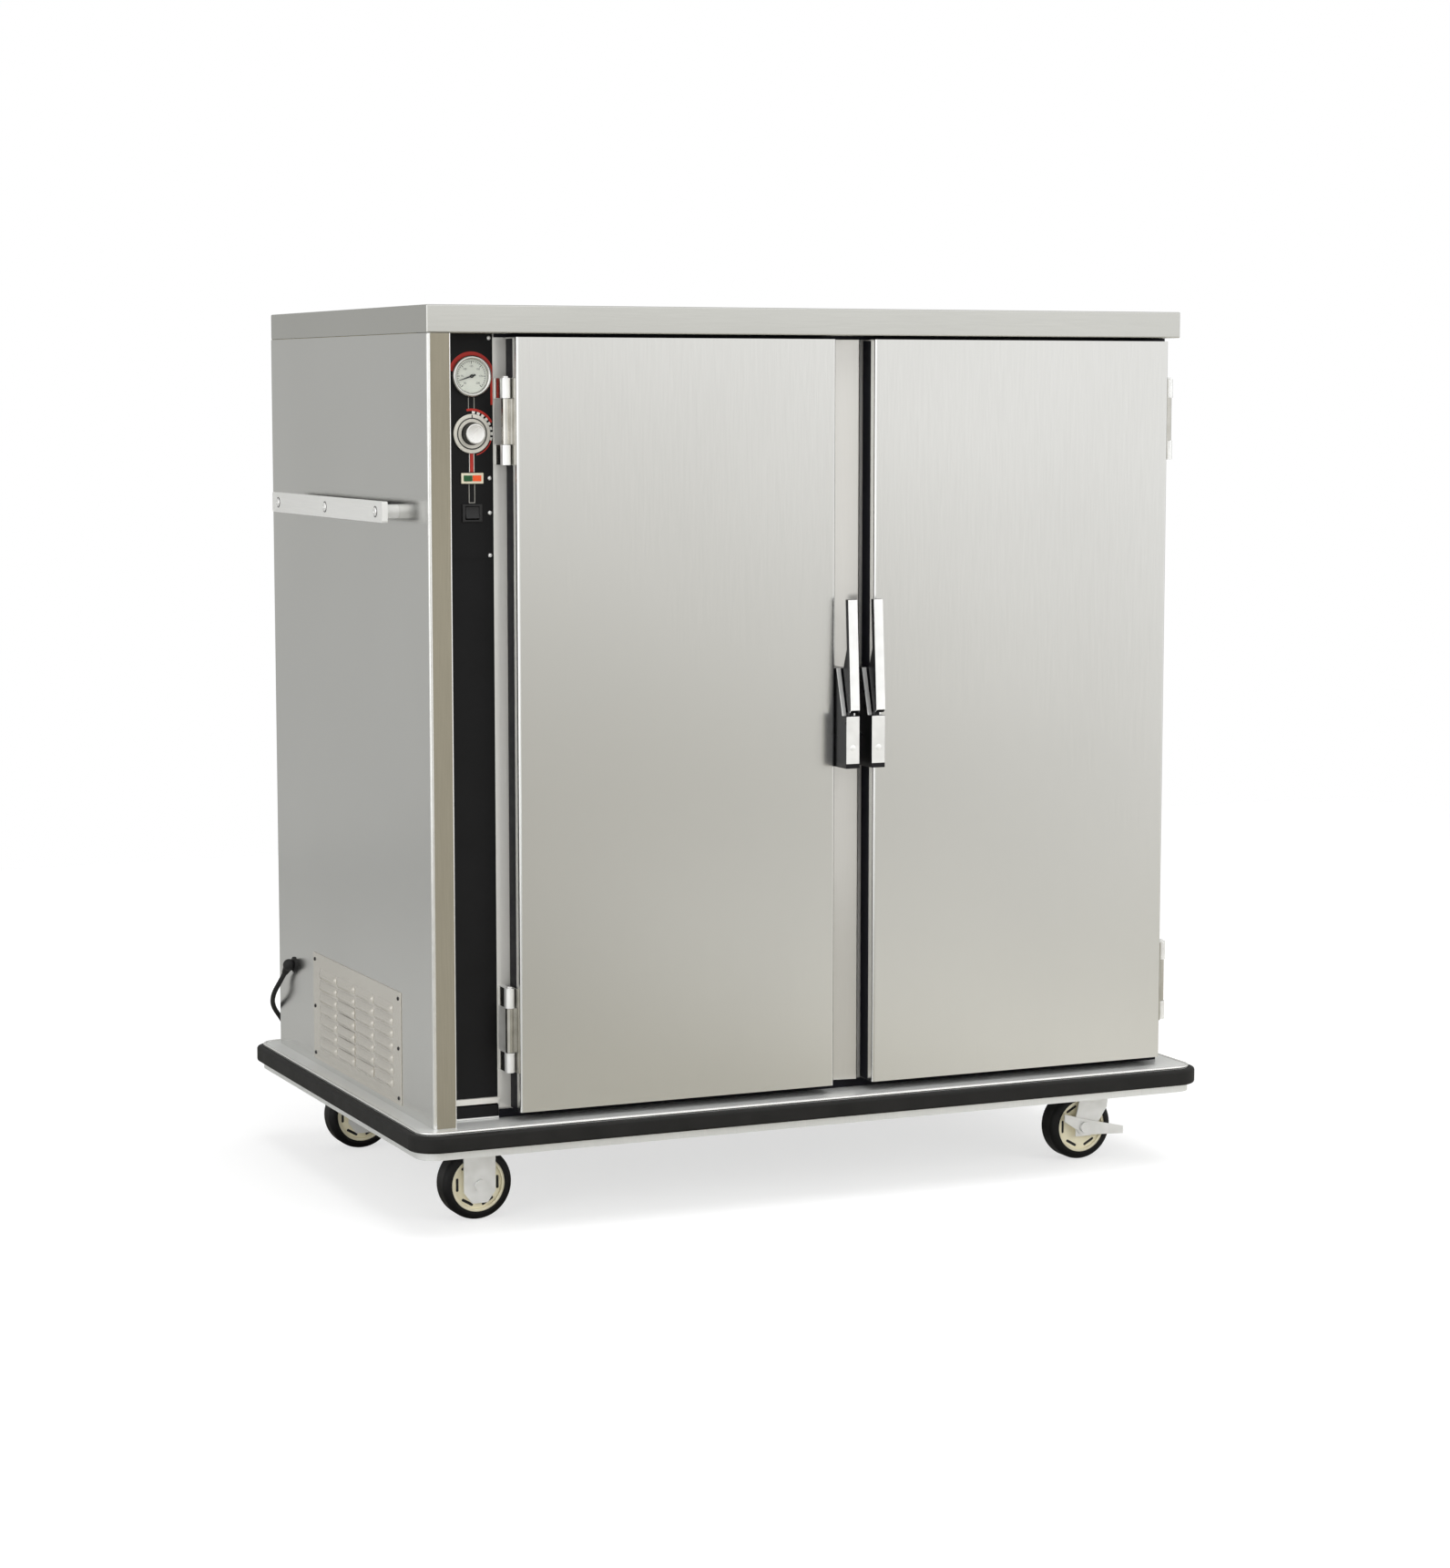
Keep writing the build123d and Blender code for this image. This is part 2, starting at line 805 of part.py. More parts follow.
def make_door(side):
    """One door: outer skin, inner pan, gasket and hinge leaves."""
    door_x = left_door_x if side == "left" else right_door_x
    end_x = door_x + door_width
    middle_x = (door_x + end_x) / 2
    middle_y = (front_y + door_back_y) / 2
    middle_z = (door_z + door_top_z) / 2
    door_height = door_top_z - door_z
    with BuildPart() as skin:
        with BuildSketch(Plane.XY.offset(door_z)) as outline:
            with Locations((middle_x, middle_y)):
                Rectangle(door_width, door_thickness)
            fillet(outline.vertices().group_by(Axis.Y)[0], radius=door_edge_round)
        extrude(amount=door_height)
        with BuildSketch(Plane.XY.offset(door_z + sheet)) as hollow:
            with Locations((middle_x, middle_y + sheet / 2)):
                Rectangle(door_width - 2 * sheet, door_thickness - sheet)
            fillet(hollow.vertices().group_by(Axis.Y)[0], radius=door_edge_round - sheet)
        extrude(amount=door_height - 2 * sheet, mode=Mode.SUBTRACT)
    save(skin, f"{side}_door_skin")

    with BuildPart() as inner_pan:
        block(
            (door_x + sheet, door_back_y - door_flange, door_z + sheet),
            (end_x - sheet, door_back_y, door_top_z - sheet),
        )
        block(
            (door_x + 2 * sheet, door_back_y - door_flange, door_z + 2 * sheet),
            (end_x - 2 * sheet, door_back_y - sheet, door_top_z - 2 * sheet),
            Mode.SUBTRACT,
        )
    save(inner_pan, f"{side}_door_inner_pan")

    seal_width = door_width - 2 * gasket_inset
    seal_height = door_height - 2 * gasket_inset
    with BuildPart() as gasket:
        with BuildSketch(facing_front(middle_x, door_back_y, middle_z)):
            Rectangle(seal_width, seal_height)
            Rectangle(
                seal_width - 2 * gasket_width,
                seal_height - 2 * gasket_width,
                mode=Mode.SUBTRACT,
            )
        extrude(amount=-gasket_thickness)
    save(gasket, f"{side}_door_gasket")

    axis_x = hinge_axis_x(side)
    axis_y = front_y + hinge_back
    edge_x = door_x if side == "left" else end_x
    outward = -1 if side == "left" else 1
    plate_x = edge_x + outward * hinge_edge_plate
    with BuildPart() as leaves:
        for z in hinge_places():
            low = z + knuckle_length + hinge_play
            high = z + hinge_length - knuckle_length - hinge_play
            block(
                (min(edge_x, plate_x), front_y + hinge_edge_inset, z),
                (max(edge_x, plate_x), door_back_y - hinge_edge_inset, z + hinge_length),
            )
            block(
                (min(axis_x, plate_x), axis_y - hinge_arm / 2, low),
                (max(axis_x, plate_x), axis_y + hinge_arm / 2, high),
            )
            rod((axis_x, axis_y, low), (0, 0, 1), door_knuckle_radius, high - low)
            rod(
                (axis_x, axis_y, low),
                (0, 0, 1),
                hinge_pin_radius + shaft_play,
                high - low,
                Mode.SUBTRACT,
            )
    save(leaves, f"{side}_door_hinge_leaves")


def latch_span(side):
    """Lowest and highest X of a door's edge latch."""
    if side == "left":
        edge_x = left_door_x + door_width
        return edge_x, edge_x + latch_width
    return right_door_x - latch_width, right_door_x


def make_latch(side):
    """Edge latch: body with its pivot housing and pin, and the pull lever."""
    low_x, high_x = latch_span(side)
    middle_x = (low_x + high_x) / 2
    latch_z = deck_height + latch_rise
    latch_top = latch_z + latch_height
    reach_y = front_y - latch_reach
    base_y = front_y - latch_proud
    housing_top = latch_z + latch_housing_height
    slope_top = housing_top + latch_slope_rise
    pivot_y = reach_y + pivot_back
    pivot_z = housing_top - pivot_drop
    slot_half = tongue_width / 2 + slot_play
    with BuildPart() as body:
        block((low_x, base_y, latch_z), (high_x, door_back_y - latch_back_gap, slope_top))
        with BuildSketch(Plane(origin=(low_x, 0, 0), x_dir=(0, 1, 0), z_dir=(1, 0, 0))):
            with BuildLine():
                Polyline(
                    (reach_y, latch_z),
                    (base_y, latch_z),
                    (base_y, slope_top),
                    (reach_y + latch_slope_foot, housing_top),
                    (reach_y, housing_top),
                    close=True,
                )
            make_face()
        extrude(amount=latch_width)
        block(
            (middle_x - slot_half, reach_y, pivot_z - tongue_radius - slot_play),
            (
                middle_x + slot_half,
                pivot_y + tongue_radius + slot_play,
                slope_top,
            ),
            Mode.SUBTRACT,
        )
        rod((low_x, pivot_y, pivot_z), (1, 0, 0), pivot_pin_radius, latch_width)
    save(body, f"{side}_latch_body")

    lever_z = housing_top + lever_gap
    lever_x = high_x - lever_width
    waist_lean = lever_lean * lever_waist_rise / (latch_top - lever_z)
    with BuildPart() as lever:
        with BuildSketch(Plane(origin=(lever_x, 0, 0), x_dir=(0, 1, 0), z_dir=(1, 0, 0))):
            with BuildLine():
                Polyline(
                    (reach_y + lever_chamfer, lever_z),
                    (reach_y + lever_foot, lever_z),
                    (reach_y + lever_belly_depth, lever_z + lever_belly_rise),
                    (reach_y + waist_lean + lever_thickness, lever_z + lever_waist_rise),
                    (reach_y + lever_lean + lever_thickness, latch_top),
                    (reach_y + lever_lean, latch_top),
                    (reach_y, lever_z + lever_chamfer),
                    close=True,
                )
            make_face()
        extrude(amount=lever_width)
        tongue_x = middle_x - tongue_width / 2
        rod((tongue_x, pivot_y, pivot_z), (1, 0, 0), tongue_radius, tongue_width)
        block(
            (tongue_x, pivot_y - tongue_radius, pivot_z),
            (tongue_x + tongue_width, pivot_y + tongue_radius, lever_z),
        )
        rod(
            (tongue_x, pivot_y, pivot_z),
            (1, 0, 0),
            pivot_pin_radius + shaft_play,
            tongue_width,
            Mode.SUBTRACT,
        )
    save(lever, f"{side}_latch_lever")


def make_strikes():
    """Strike plates on the mullion behind the latches."""
    strike_y = door_back_y - latch_back_gap + strike_gap
    latch_z = deck_height + latch_rise
    body_height = latch_housing_height + latch_slope_rise
    with BuildPart() as latch_strikes:
        for side in ("left", "right"):
            low_x, high_x = latch_span(side)
            middle_x = (low_x + high_x) / 2
            block(
                (middle_x - strike_width / 2, strike_y, latch_z + strike_inset),
                (middle_x + strike_width / 2, frame_y, latch_z + body_height - strike_inset),
            )
    save(latch_strikes, "latch_strikes")


def make_thermometer():
    """Dial thermometer: case through the panel, dial with spindle, needle and lens."""
    z = cap_z - thermometer_drop
    face_y = plate_y - bezel_proud
    seat_y = face_y + lens_recess + lens_sheet
    floor_y = plate_y - bezel_floor
    bore_radius = dial_radius + dial_play
    with BuildPart() as thermometer_case:
        rod((instrument_x, face_y, z), (0, 1, 0), bezel_radius, bezel_proud)
        rod((instrument_x, plate_y, z), (0, 1, 0), can_radius, can_depth)
        rod((instrument_x, face_y, z), (0, 1, 0), bore_radius, floor_y - face_y, Mode.SUBTRACT)
        rod(
            (instrument_x, face_y, z),
            (0, 1, 0),
            lens_radius + dial_play,
            seat_y - face_y,
            Mode.SUBTRACT,
        )
        fillet(
            thermometer_case.edges()
            .filter_by(GeomType.CIRCLE)
            .sort_by(SortBy.RADIUS)[-2:]
            .sort_by(Axis.Y)[0],
            radius=bezel_round,
        )
    save(thermometer_case, "thermometer_case")

    dial_y = floor_y - dial_sheet
    with BuildPart() as thermometer_dial:
        rod((instrument_x, dial_y, z), (0, 1, 0), dial_radius, dial_sheet)
        rod((instrument_x, dial_y, z), (0, -1, 0), spindle_radius, spindle_length)
    save(thermometer_dial, "thermometer_dial")

    needle_y = dial_y - needle_lift
    with BuildPart() as thermometer_needle:
        with BuildSketch(facing_front(instrument_x, needle_y, z)):
            Polygon(
                (-needle_width / 2, -needle_tail),
                (needle_width / 2, -needle_tail),
                (needle_tip / 2, needle_length),
                (-needle_tip / 2, needle_length),
                rotation=needle_rest,
                align=None,
            )
            Circle(needle_hub)
            Circle(spindle_radius + shaft_play, mode=Mode.SUBTRACT)
        extrude(amount=needle_sheet)
    save(thermometer_needle, "thermometer_needle")

    with BuildPart() as thermometer_lens:
        rod((instrument_x, face_y + lens_recess, z), (0, 1, 0), lens_radius, lens_sheet)
    save(thermometer_lens, "thermometer_lens")


def make_thermostat():
    """Thermostat behind the panel and the round knob on its shaft."""
    z = cap_z - knob_drop
    half_size = thermostat_size / 2
    with BuildPart() as thermostat_body:
        block(
            (instrument_x - half_size, frame_back_y, z - half_size),
            (instrument_x + half_size, frame_back_y + thermostat_depth, z + half_size),
        )
        rod(
            (instrument_x, frame_back_y, z),
            (0, -1, 0),
            shaft_radius,
            frame_back_y - plate_y + shaft_length,
        )
    save(thermostat_body, "thermostat_body")

    base = (Align.CENTER, Align.CENTER, Align.MIN)
    with BuildPart(facing_front(instrument_x, plate_y - skirt_gap, z)) as thermostat_knob:
        Cylinder(skirt_radius, skirt_sheet, align=base)
        Cylinder(grip_radius, skirt_sheet + grip_height, align=base)
        fillet(
            thermostat_knob.edges().filter_by(GeomType.CIRCLE).sort_by(Axis.Y)[0],
            radius=grip_round,
        )
        Cylinder(shaft_radius + shaft_play, shaft_length, align=base, mode=Mode.SUBTRACT)
    save(thermostat_knob, "thermostat_knob")


def make_switches():
    """Pair of pilot lights in one frame, and the rocker switch below them."""
    z = cap_z - lights_drop
    face_y = plate_y - lights_proud
    with BuildPart() as pilot_lights:
        block(
            (instrument_x - lights_width / 2, face_y, z - lights_height / 2),
            (instrument_x + lights_width / 2, plate_y, z + lights_height / 2),
        )
        for shift in (-light_spacing / 2, light_spacing / 2):
            x = instrument_x + shift
            block(
                (x - light_width / 2, face_y, z - light_height / 2),
                (x + light_width / 2, face_y + light_depth, z + light_height / 2),
                Mode.SUBTRACT,
            )
        for shift in (-light_spacing / 2, light_spacing / 2):
            x = instrument_x + shift
            half_width_lens = light_width / 2 - light_play
            half_height_lens = light_height / 2 - light_play
            block(
                (x - half_width_lens, face_y - light_proud, z - half_height_lens),
                (x + half_width_lens, face_y + light_depth - light_play, z + half_height_lens),
            )
    save(pilot_lights, "pilot_lights")

    z = cap_z - switch_drop
    axis_y = plate_y + rocker_axis_depth
    with BuildPart() as switch_housing:
        block(
            (instrument_x - switch_width / 2, plate_y - switch_flange, z - switch_height / 2),
            (instrument_x + switch_width / 2, plate_y, z + switch_height / 2),
        )
        block(
            (instrument_x - switch_body_width / 2, plate_y, z - switch_body_height / 2),
            (
                instrument_x + switch_body_width / 2,
                plate_y + switch_body_depth,
                z + switch_body_height / 2,
            ),
        )
        cavity_half = rocker_width / 2 + slot_play
        rod(
            (instrument_x - cavity_half, axis_y, z),
            (1, 0, 0),
            rocker_cavity,
            2 * cavity_half,
            Mode.SUBTRACT,
        )
    save(switch_housing, "switch_housing")

    tilt = radians(rocker_tilt)
    tilted = Plane(
        origin=(instrument_x - rocker_width / 2, axis_y, z),
        x_dir=(0, cos(tilt), -sin(tilt)),
        z_dir=(1, 0, 0),
    )
    with BuildPart() as switch_rocker:
        with BuildSketch(tilted):
            with BuildLine():
                Polyline(
                    (rocker_back, -rocker_back_half),
                    (rocker_back, rocker_back_half),
                    (-rocker_crown, rocker_half_height),
                    (-rocker_waist, 0),
                    (-rocker_crown, -rocker_half_height),
                    close=True,
                )
            make_face()
        extrude(amount=rocker_width)
    save(switch_rocker, "switch_rocker")


def make_handles():
    """Push bars on both sides, each with its three spacers."""
    with BuildPart() as push_handles:
        for side in (-1, 1):
            inner, outer = sorted((side * (half_width + handle_standoff), side * handle_face))
            with BuildSketch(Plane(origin=(inner, 0, handle_z), x_dir=(0, 1, 0), z_dir=(1, 0, 0))):
                RectangleRounded(handle_length, handle_height, handle_round)
            extrude(amount=outer - inner)
            for number in (-1, 0, 1):
                rod(
                    (side * half_width, number * spacer_pitch, handle_z),
                    (side, 0, 0),
                    spacer_radius,
                    handle_standoff,
                )
    save(push_handles, "push_handles")


def make_louvre_panel():
    """Removable service panel with rows of open-bottomed louvres."""
    face_x = -half_width - louvre_sheet
    low_y = louvre_y - louvre_panel_length / 2
    first_column = louvre_y - louvre_pitch_y * (louvre_columns - 1) / 2
    first_row = louvre_z + (louvre_panel_height - louvre_pitch_z * (louvre_rows - 1) - louvre_height) / 2
    rows = [(0, first_row + louvre_pitch_z * row) for row in range(louvre_rows)]
    columns = [first_column + louvre_pitch_y * column for column in range(louvre_columns)]
    slot_length = louvre_length - 2 * louvre_wall
    slot_depth = louvre_depth - louvre_wall
    slot_height = louvre_height - louvre_wall
    with BuildPart() as louvre_panel:
        block(
            (face_x, low_y, louvre_z),
            (-half_width, low_y + louvre_panel_length, louvre_z + louvre_panel_height),
        )
        for y in columns:
            with BuildSketch(facing_front(face_x, y + louvre_length / 2, 0)):
                with Locations(*rows):
                    Polygon((0, 0), (-louvre_depth, 0), (0, louvre_height), align=None)
            extrude(amount=louvre_length)
        for y in columns:
            with BuildSketch(facing_front(face_x, y + slot_length / 2, 0)):
                with Locations(*rows):
                    Polygon(
                        (louvre_sheet, 0),
                        (-slot_depth, 0),
                        (0, slot_height - louvre_wall),
                        (louvre_sheet, slot_height - louvre_wall),
                        align=None,
                    )
            extrude(amount=slot_length, mode=Mode.SUBTRACT)
    save(louvre_panel, "louvre_panel")


def make_fasteners():
    """Screws of the instrument plate and the louvred panel, and bolts of the handles."""
    plate_drops = (
        plate_edge + plate_screw_inset,
        lights_drop,
        switch_drop,
        plate_edge + plate_length - plate_screw_inset,
    )
    panel_top = louvre_z + louvre_panel_height - louvre_screw_inset
    panel_step = (louvre_panel_height - 2 * louvre_screw_inset) / (louvre_screw_rows - 1)
    panel_reach = louvre_panel_length / 2 - louvre_screw_inset
    with BuildPart() as panel_screws:
        for x in (post_x + plate_edge + plate_screw_inset, stile_x - plate_edge - plate_screw_inset):
            for drop in plate_drops:
                rod((x, plate_y, cap_z - drop), (0, -1, 0), screw_radius, screw_head)
        for y in (louvre_y - panel_reach, louvre_y + panel_reach):
            for row in range(louvre_screw_rows):
                z = panel_top - panel_step * row
                rod((-half_width - louvre_sheet, y, z), (-1, 0, 0), screw_radius, screw_head)
        for side in (-1, 1):
            for number in (-1, 0, 1):
                rod(
                    (side * handle_face, number * spacer_pitch, handle_z),
                    (side, 0, 0),
                    bolt_radius,
                    bolt_head,
                )
    save(panel_screws, "panel_screws")


def fork_plane(y, side):
    """Plane on a fork leg's rear face, so that the leg extrudes towards the front."""
    rear = y + fork_gap / 2 + fork_sheet if side > 0 else y - fork_gap / 2
    return facing_front(0, rear, 0)


def axle(x, y, reach):
    """Axle bolt with a head at each end, standing clear of its fork's holes."""
    rod((x, y - reach, axle_height), (0, 1, 0), axle_radius, 2 * reach)
    for side in (-1, 1):
        rod((x, y + side * reach, axle_height), (0, side, 0), axle_head_radius, axle_head)


def make_caster_mounts():
    """Rigid forks with their axles on the left, swivel plates with king pins on the right."""
    half_length, half_breadth = caster_plate_length / 2, caster_plate_width / 2
    tip_z = axle_height - fork_tip_drop
    shoulder_z = axle_height - fork_shoulder_drop
    race_z = plate_bottom - race_height
    crown_z = race_z - race_gap - crown_sheet
    pin_z = crown_z - race_gap - king_pin_head
    with BuildPart() as caster_mounts:
        for y in caster_rows.values():
            block(
                (rigid_x - half_length, y - half_breadth, plate_bottom),
                (rigid_x + half_length, y + half_breadth, caster_plate_top),
            )
            for side in (-1, 1):
                with BuildSketch(fork_plane(y, side)):
                    with BuildLine():
                        Polyline(
                            (rigid_x - fork_width / 2, plate_bottom),
                            (rigid_x + fork_width / 2, plate_bottom),
                            (rigid_x + fork_width / 2, shoulder_z),
                            (rigid_x + fork_tip_width / 2, tip_z),
                            (rigid_x - fork_tip_width / 2, tip_z),
                            (rigid_x - fork_width / 2, shoulder_z),
                            close=True,
                        )
                    make_face()
                    with Locations((rigid_x, axle_height)):
                        Circle(axle_radius + shaft_play, mode=Mode.SUBTRACT)
                extrude(amount=fork_sheet)
            block(
                (swivel_x - half_length, y - half_breadth, plate_bottom),
                (swivel_x + half_length, y + half_breadth, caster_plate_top),
            )
            rod((swivel_x, y, race_z), (0, 0, 1), race_radius, race_height)
            rod((swivel_x, y, pin_z), (0, 0, 1), king_pin_radius, plate_bottom - pin_z)
            rod((swivel_x, y, pin_z), (0, 0, 1), king_pin_head_radius, king_pin_head)
        for y in caster_rows.values():
            axle(rigid_x, y, fork_gap / 2 + fork_sheet)
    save(caster_mounts, "caster_mounts")


def make_swivel(row):
    """Swivel fork with its axle, and the brake lever that straddles it on the same axle."""
    y = caster_rows[row]
    axle_x = swivel_x - swivel_trail
    crown_top = plate_bottom - race_height - race_gap
    crown_z = crown_top - crown_sheet
    tip_z = axle_height - swivel_tip_drop
    leg_y = fork_gap / 2 + fork_sheet
    with BuildPart() as fork:
        block(
            (swivel_x - crown_half, y - leg_y, crown_z), (swivel_x + crown_half, y + leg_y, crown_top)
        )
        rod(
            (swivel_x, y, crown_z),
            (0, 0, 1),
            king_pin_radius + shaft_play,
            crown_sheet,
            Mode.SUBTRACT,
        )
        for side in (-1, 1):
            with BuildSketch(fork_plane(y, side)):
                with BuildLine():
                    Polyline(
                        (swivel_x - crown_half, crown_top),
                        (swivel_x + crown_half, crown_top),
                        (swivel_x + swivel_neck_out, axle_height + swivel_neck_rise),
                        (axle_x + swivel_tip_width / 2, tip_z),
                        (axle_x - swivel_tip_width / 2, tip_z),
                        (axle_x - swivel_tip_width / 2, axle_height + swivel_tip_drop),
                        close=True,
                    )
                make_face()
                with Locations((axle_x, axle_height)):
                    Circle(axle_radius + shaft_play, mode=Mode.SUBTRACT)
            extrude(amount=fork_sheet)
        axle(axle_x, y, leg_y + 2 * brake_gap + brake_sheet)
    save(fork, f"{row}_right_fork")

    half_arm = brake_arm_width / 2
    tread_z = axle_height - brake_tread_drop
    inner_y = leg_y + brake_gap
    outer_y = inner_y + brake_sheet
    with BuildPart() as brake:
        for rear in (y - inner_y, y + outer_y):
            with BuildSketch(facing_front(axle_x, rear, axle_height)):
                Circle(brake_boss_radius)
                with BuildLine():
                    Polyline(
                        (-brake_tip_back, brake_tip_rise - half_arm),
                        (0, -brake_boss_radius),
                        (brake_tread_end, -brake_tread_drop - half_arm),
                        (brake_tread_end, -brake_tread_drop + half_arm),
                        (0, brake_boss_radius),
                        (-brake_tip_back, brake_tip_rise + half_arm),
                        close=True,
                    )
                make_face()
                Circle(axle_radius + shaft_play, mode=Mode.SUBTRACT)
            extrude(amount=brake_sheet)
        block(
            (axle_x + brake_tread_start, y - inner_y, tread_z - brake_tread_sheet / 2),
            (axle_x + brake_tread_end, y + inner_y, tread_z + brake_tread_sheet / 2),
        )
    save(brake, f"{row}_right_brake_lever")


def make_wheel(row, side):
    """Caster wheel: moulded hub with a ring of holes, and its rubber tyre."""
    x = rigid_x if side == "left" else swivel_x - swivel_trail
    middle = facing_front(x, caster_rows[row], axle_height)
    recess = (hub_width - hub_web) / 2
    with BuildPart(middle) as hub:
        Cylinder(hub_radius, hub_width)
        with Locations((0, 0, (hub_web + recess) / 2), (0, 0, -(hub_web + recess) / 2)):
            Cylinder(hub_recess_radius, recess, mode=Mode.SUBTRACT)
        Cylinder(hub_boss_radius, fork_gap - 2 * hub_side_gap)
        with BuildSketch(middle.offset(-hub_web / 2)):
            with PolarLocations(hub_slot_circle, hub_slots):
                SlotOverall(hub_slot_length, hub_slot_width, rotation=90)
        extrude(amount=hub_web, mode=Mode.SUBTRACT)
        Cylinder(axle_radius + shaft_play, fork_gap, mode=Mode.SUBTRACT)
    save(hub, f"{row}_{side}_wheel_hub")

    with BuildPart(middle) as tyre:
        Cylinder(axle_height, tyre_width)
        fillet(tyre.edges().filter_by(GeomType.CIRCLE), radius=tyre_round)
        Cylinder(hub_radius, tyre_width, mode=Mode.SUBTRACT)
    save(tyre, f"{row}_{side}_tyre")


def make_cord():
    """Strain relief, free cord, its put-away coil and the plug."""
    cord_radius = cord_diameter / 2
    gland_x = -half_width - gland_length / 2
    gland = Vector(gland_x, back_y - gland_from_back, deck_height + gland_rise)
    dip = radians(gland_dip)
    lead = Vector(0, cos(dip), -sin(dip))
    with BuildPart() as cord_gland:
        rod((-half_width, gland.Y, gland.Z), (-1, 0, 0), gland_radius, gland_length)
        fillet(
            cord_gland.edges().filter_by(GeomType.CIRCLE).sort_by(Axis.X)[0], radius=gland_round
        )
        with Locations(Plane(origin=gland + lead * sleeve_start, z_dir=lead)):
            Cone(
                sleeve_root_radius,
                sleeve_tip_radius,
                sleeve_end - sleeve_start,
                align=(Align.CENTER, Align.CENTER, Align.MIN),
            )
    save(cord_gland, "cord_gland")

    coil_y = back_y + deck_overhang + bumper_thickness + coil_back_gap + coil_outer
    floor_z = cord_radius
    coil_x = -half_width + coil_from_side
    coil_start = Vector(coil_x - cord_diameter, coil_y - coil_outer, floor_z)
    rear_corner = Vector(-half_width, back_y, deck_height)
    floor_corner = Vector(-half_width, back_y, floor_z)
    route = [
        gland + lead * sleeve_end,
        gland + lead * (sleeve_end + cord_lead),
        *(rear_corner + Vector(*step) for step in cord_drop),
        *(floor_corner + Vector(*step) for step in cord_landing),
        coil_start - Vector(coil_lead, 0, 0),
        coil_start,
    ]
    radii = []
    for before, corner, after in zip(route, route[1:], route[2:]):
        first, second = corner - before, after - corner
        turn = radians(first.get_angle(second))
        radii.append(0.45 * min(first.length, second.length) / tan(turn / 2))
    with BuildPart() as power_cord:
        with BuildLine() as cord_line:
            FilletPolyline(*route, radius=radii)
        cord_path = cord_line.wire()
        with BuildSketch(Plane(origin=cord_path @ 0, z_dir=cord_path % 0)):
            Circle(cord_radius)
        sweep(path=cord_path)
    free_length = cord_path.length
    section = pi * cord_radius**2
    print("cord bend radii", [round(radius) for radius in radii])
    print("cord volume ratio", round(power_cord.part.volume / (section * free_length), 4))
    save(power_cord, "power_cord")

    half_step = coil_step / 2
    inner = coil_outer - half_step * coil_turns_in
    radii_in = [coil_outer - half_step * n for n in range(coil_turns_in + 1)]
    radii_out = [inner + half_step * n for n in range(coil_turns_out + 1)]
    radii_out.append(coil_exit)
    upper_z = floor_z + coil_layer

    def half_turn(side, start_radius, end_radius, z):
        """One flat half turn of the coil, from one side of its middle to the other."""
        radius = (start_radius + end_radius) / 2
        ThreePointArc(
            (coil_x, coil_y + side * start_radius, z),
            (coil_x - side * radius, coil_y + side * (start_radius - end_radius) / 2, z),
            (coil_x, coil_y - side * end_radius, z),
        )

    with BuildPart() as cord_coil:
        with BuildLine() as coil_line:
            side = -1
            Line(coil_start, (coil_x, coil_y - coil_outer, floor_z))
            for start_radius, end_radius in zip(radii_in, radii_in[1:]):
                half_turn(side, start_radius, end_radius, floor_z)
                side = -side
            rise_x = coil_x - side * sqrt(inner**2 + (coil_layer / 2) ** 2)
            rise = Vector(rise_x, coil_y, floor_z + coil_layer / 2)
            first = TangentArc(
                (coil_x, coil_y + side * inner, floor_z), rise, tangent=(-side, 0, 0)
            )
            TangentArc(rise, (coil_x, coil_y - side * inner, upper_z), tangent=first % 1)
            side = -side
            for start_radius, end_radius in zip(radii_out, radii_out[1:]):
                half_turn(side, start_radius, end_radius, upper_z)
                side = -side
            coil_end = Vector(coil_x + cord_diameter, coil_y - coil_exit, upper_z)
            Line((coil_x, coil_y - coil_exit, upper_z), coil_end)
        with BuildSketch(Plane(origin=coil_start, z_dir=(1, 0, 0))):
            Circle(cord_radius)
        coil_path = coil_line.wire()
        sweep(path=coil_path)
    coil_length = coil_path.length
    steps = round(coil_length / (cord_diameter / 2))
    places = [coil_path @ (n / steps) for n in range(steps + 1)]
    apart = round(pi * inner / coil_length * steps)
    least = min(
        (places[a] - places[b]).length for a in range(steps + 1) for b in range(a + apart, steps + 1)
    )
    print("coil length", round(coil_length, 1), "least gap", round(least - cord_diameter, 2))
    print("coil volume ratio", round(cord_coil.part.volume / (section * coil_length), 4))
    save(cord_coil, "cord_coil")

    body_x = coil_end.X + plug_neck
    blade_x = body_x + plug_body
    with BuildPart() as power_plug:
        rod(coil_end, (1, 0, 0), plug_neck_radius, plug_neck)
        rod((body_x, coil_end.Y, coil_end.Z), (1, 0, 0), plug_radius, plug_body)
        for shift in (-blade_spacing / 2, blade_spacing / 2):
            block(
                (blade_x, coil_end.Y + shift - blade_sheet / 2, coil_end.Z - blade_width / 2),
                (
                    blade_x + blade_length,
                    coil_end.Y + shift + blade_sheet / 2,
                    coil_end.Z + blade_width / 2,
                ),
            )
        rod(
            (blade_x, coil_end.Y, coil_end.Z - ground_offset),
            (1, 0, 0),
            ground_radius,
            blade_length,
        )
    save(power_plug, "power_plug")
    print("whole cord", round(free_length + coil_length, 1))


make_base_deck()
make_bumper()
make_shell()
make_front_frame()
make_control_panels()
make_lining()
make_shelving()
make_blower()
make_frame_hinges()
for door_side in ("left", "right"):
    make_door(door_side)
    make_latch(door_side)
make_strikes()
make_thermometer()
make_thermostat()
make_switches()
make_handles()
make_louvre_panel()
make_fasteners()
make_caster_mounts()
for caster_row in caster_rows:
    make_swivel(caster_row)
    for caster_side in ("left", "right"):
        make_wheel(caster_row, caster_side)
make_cord()
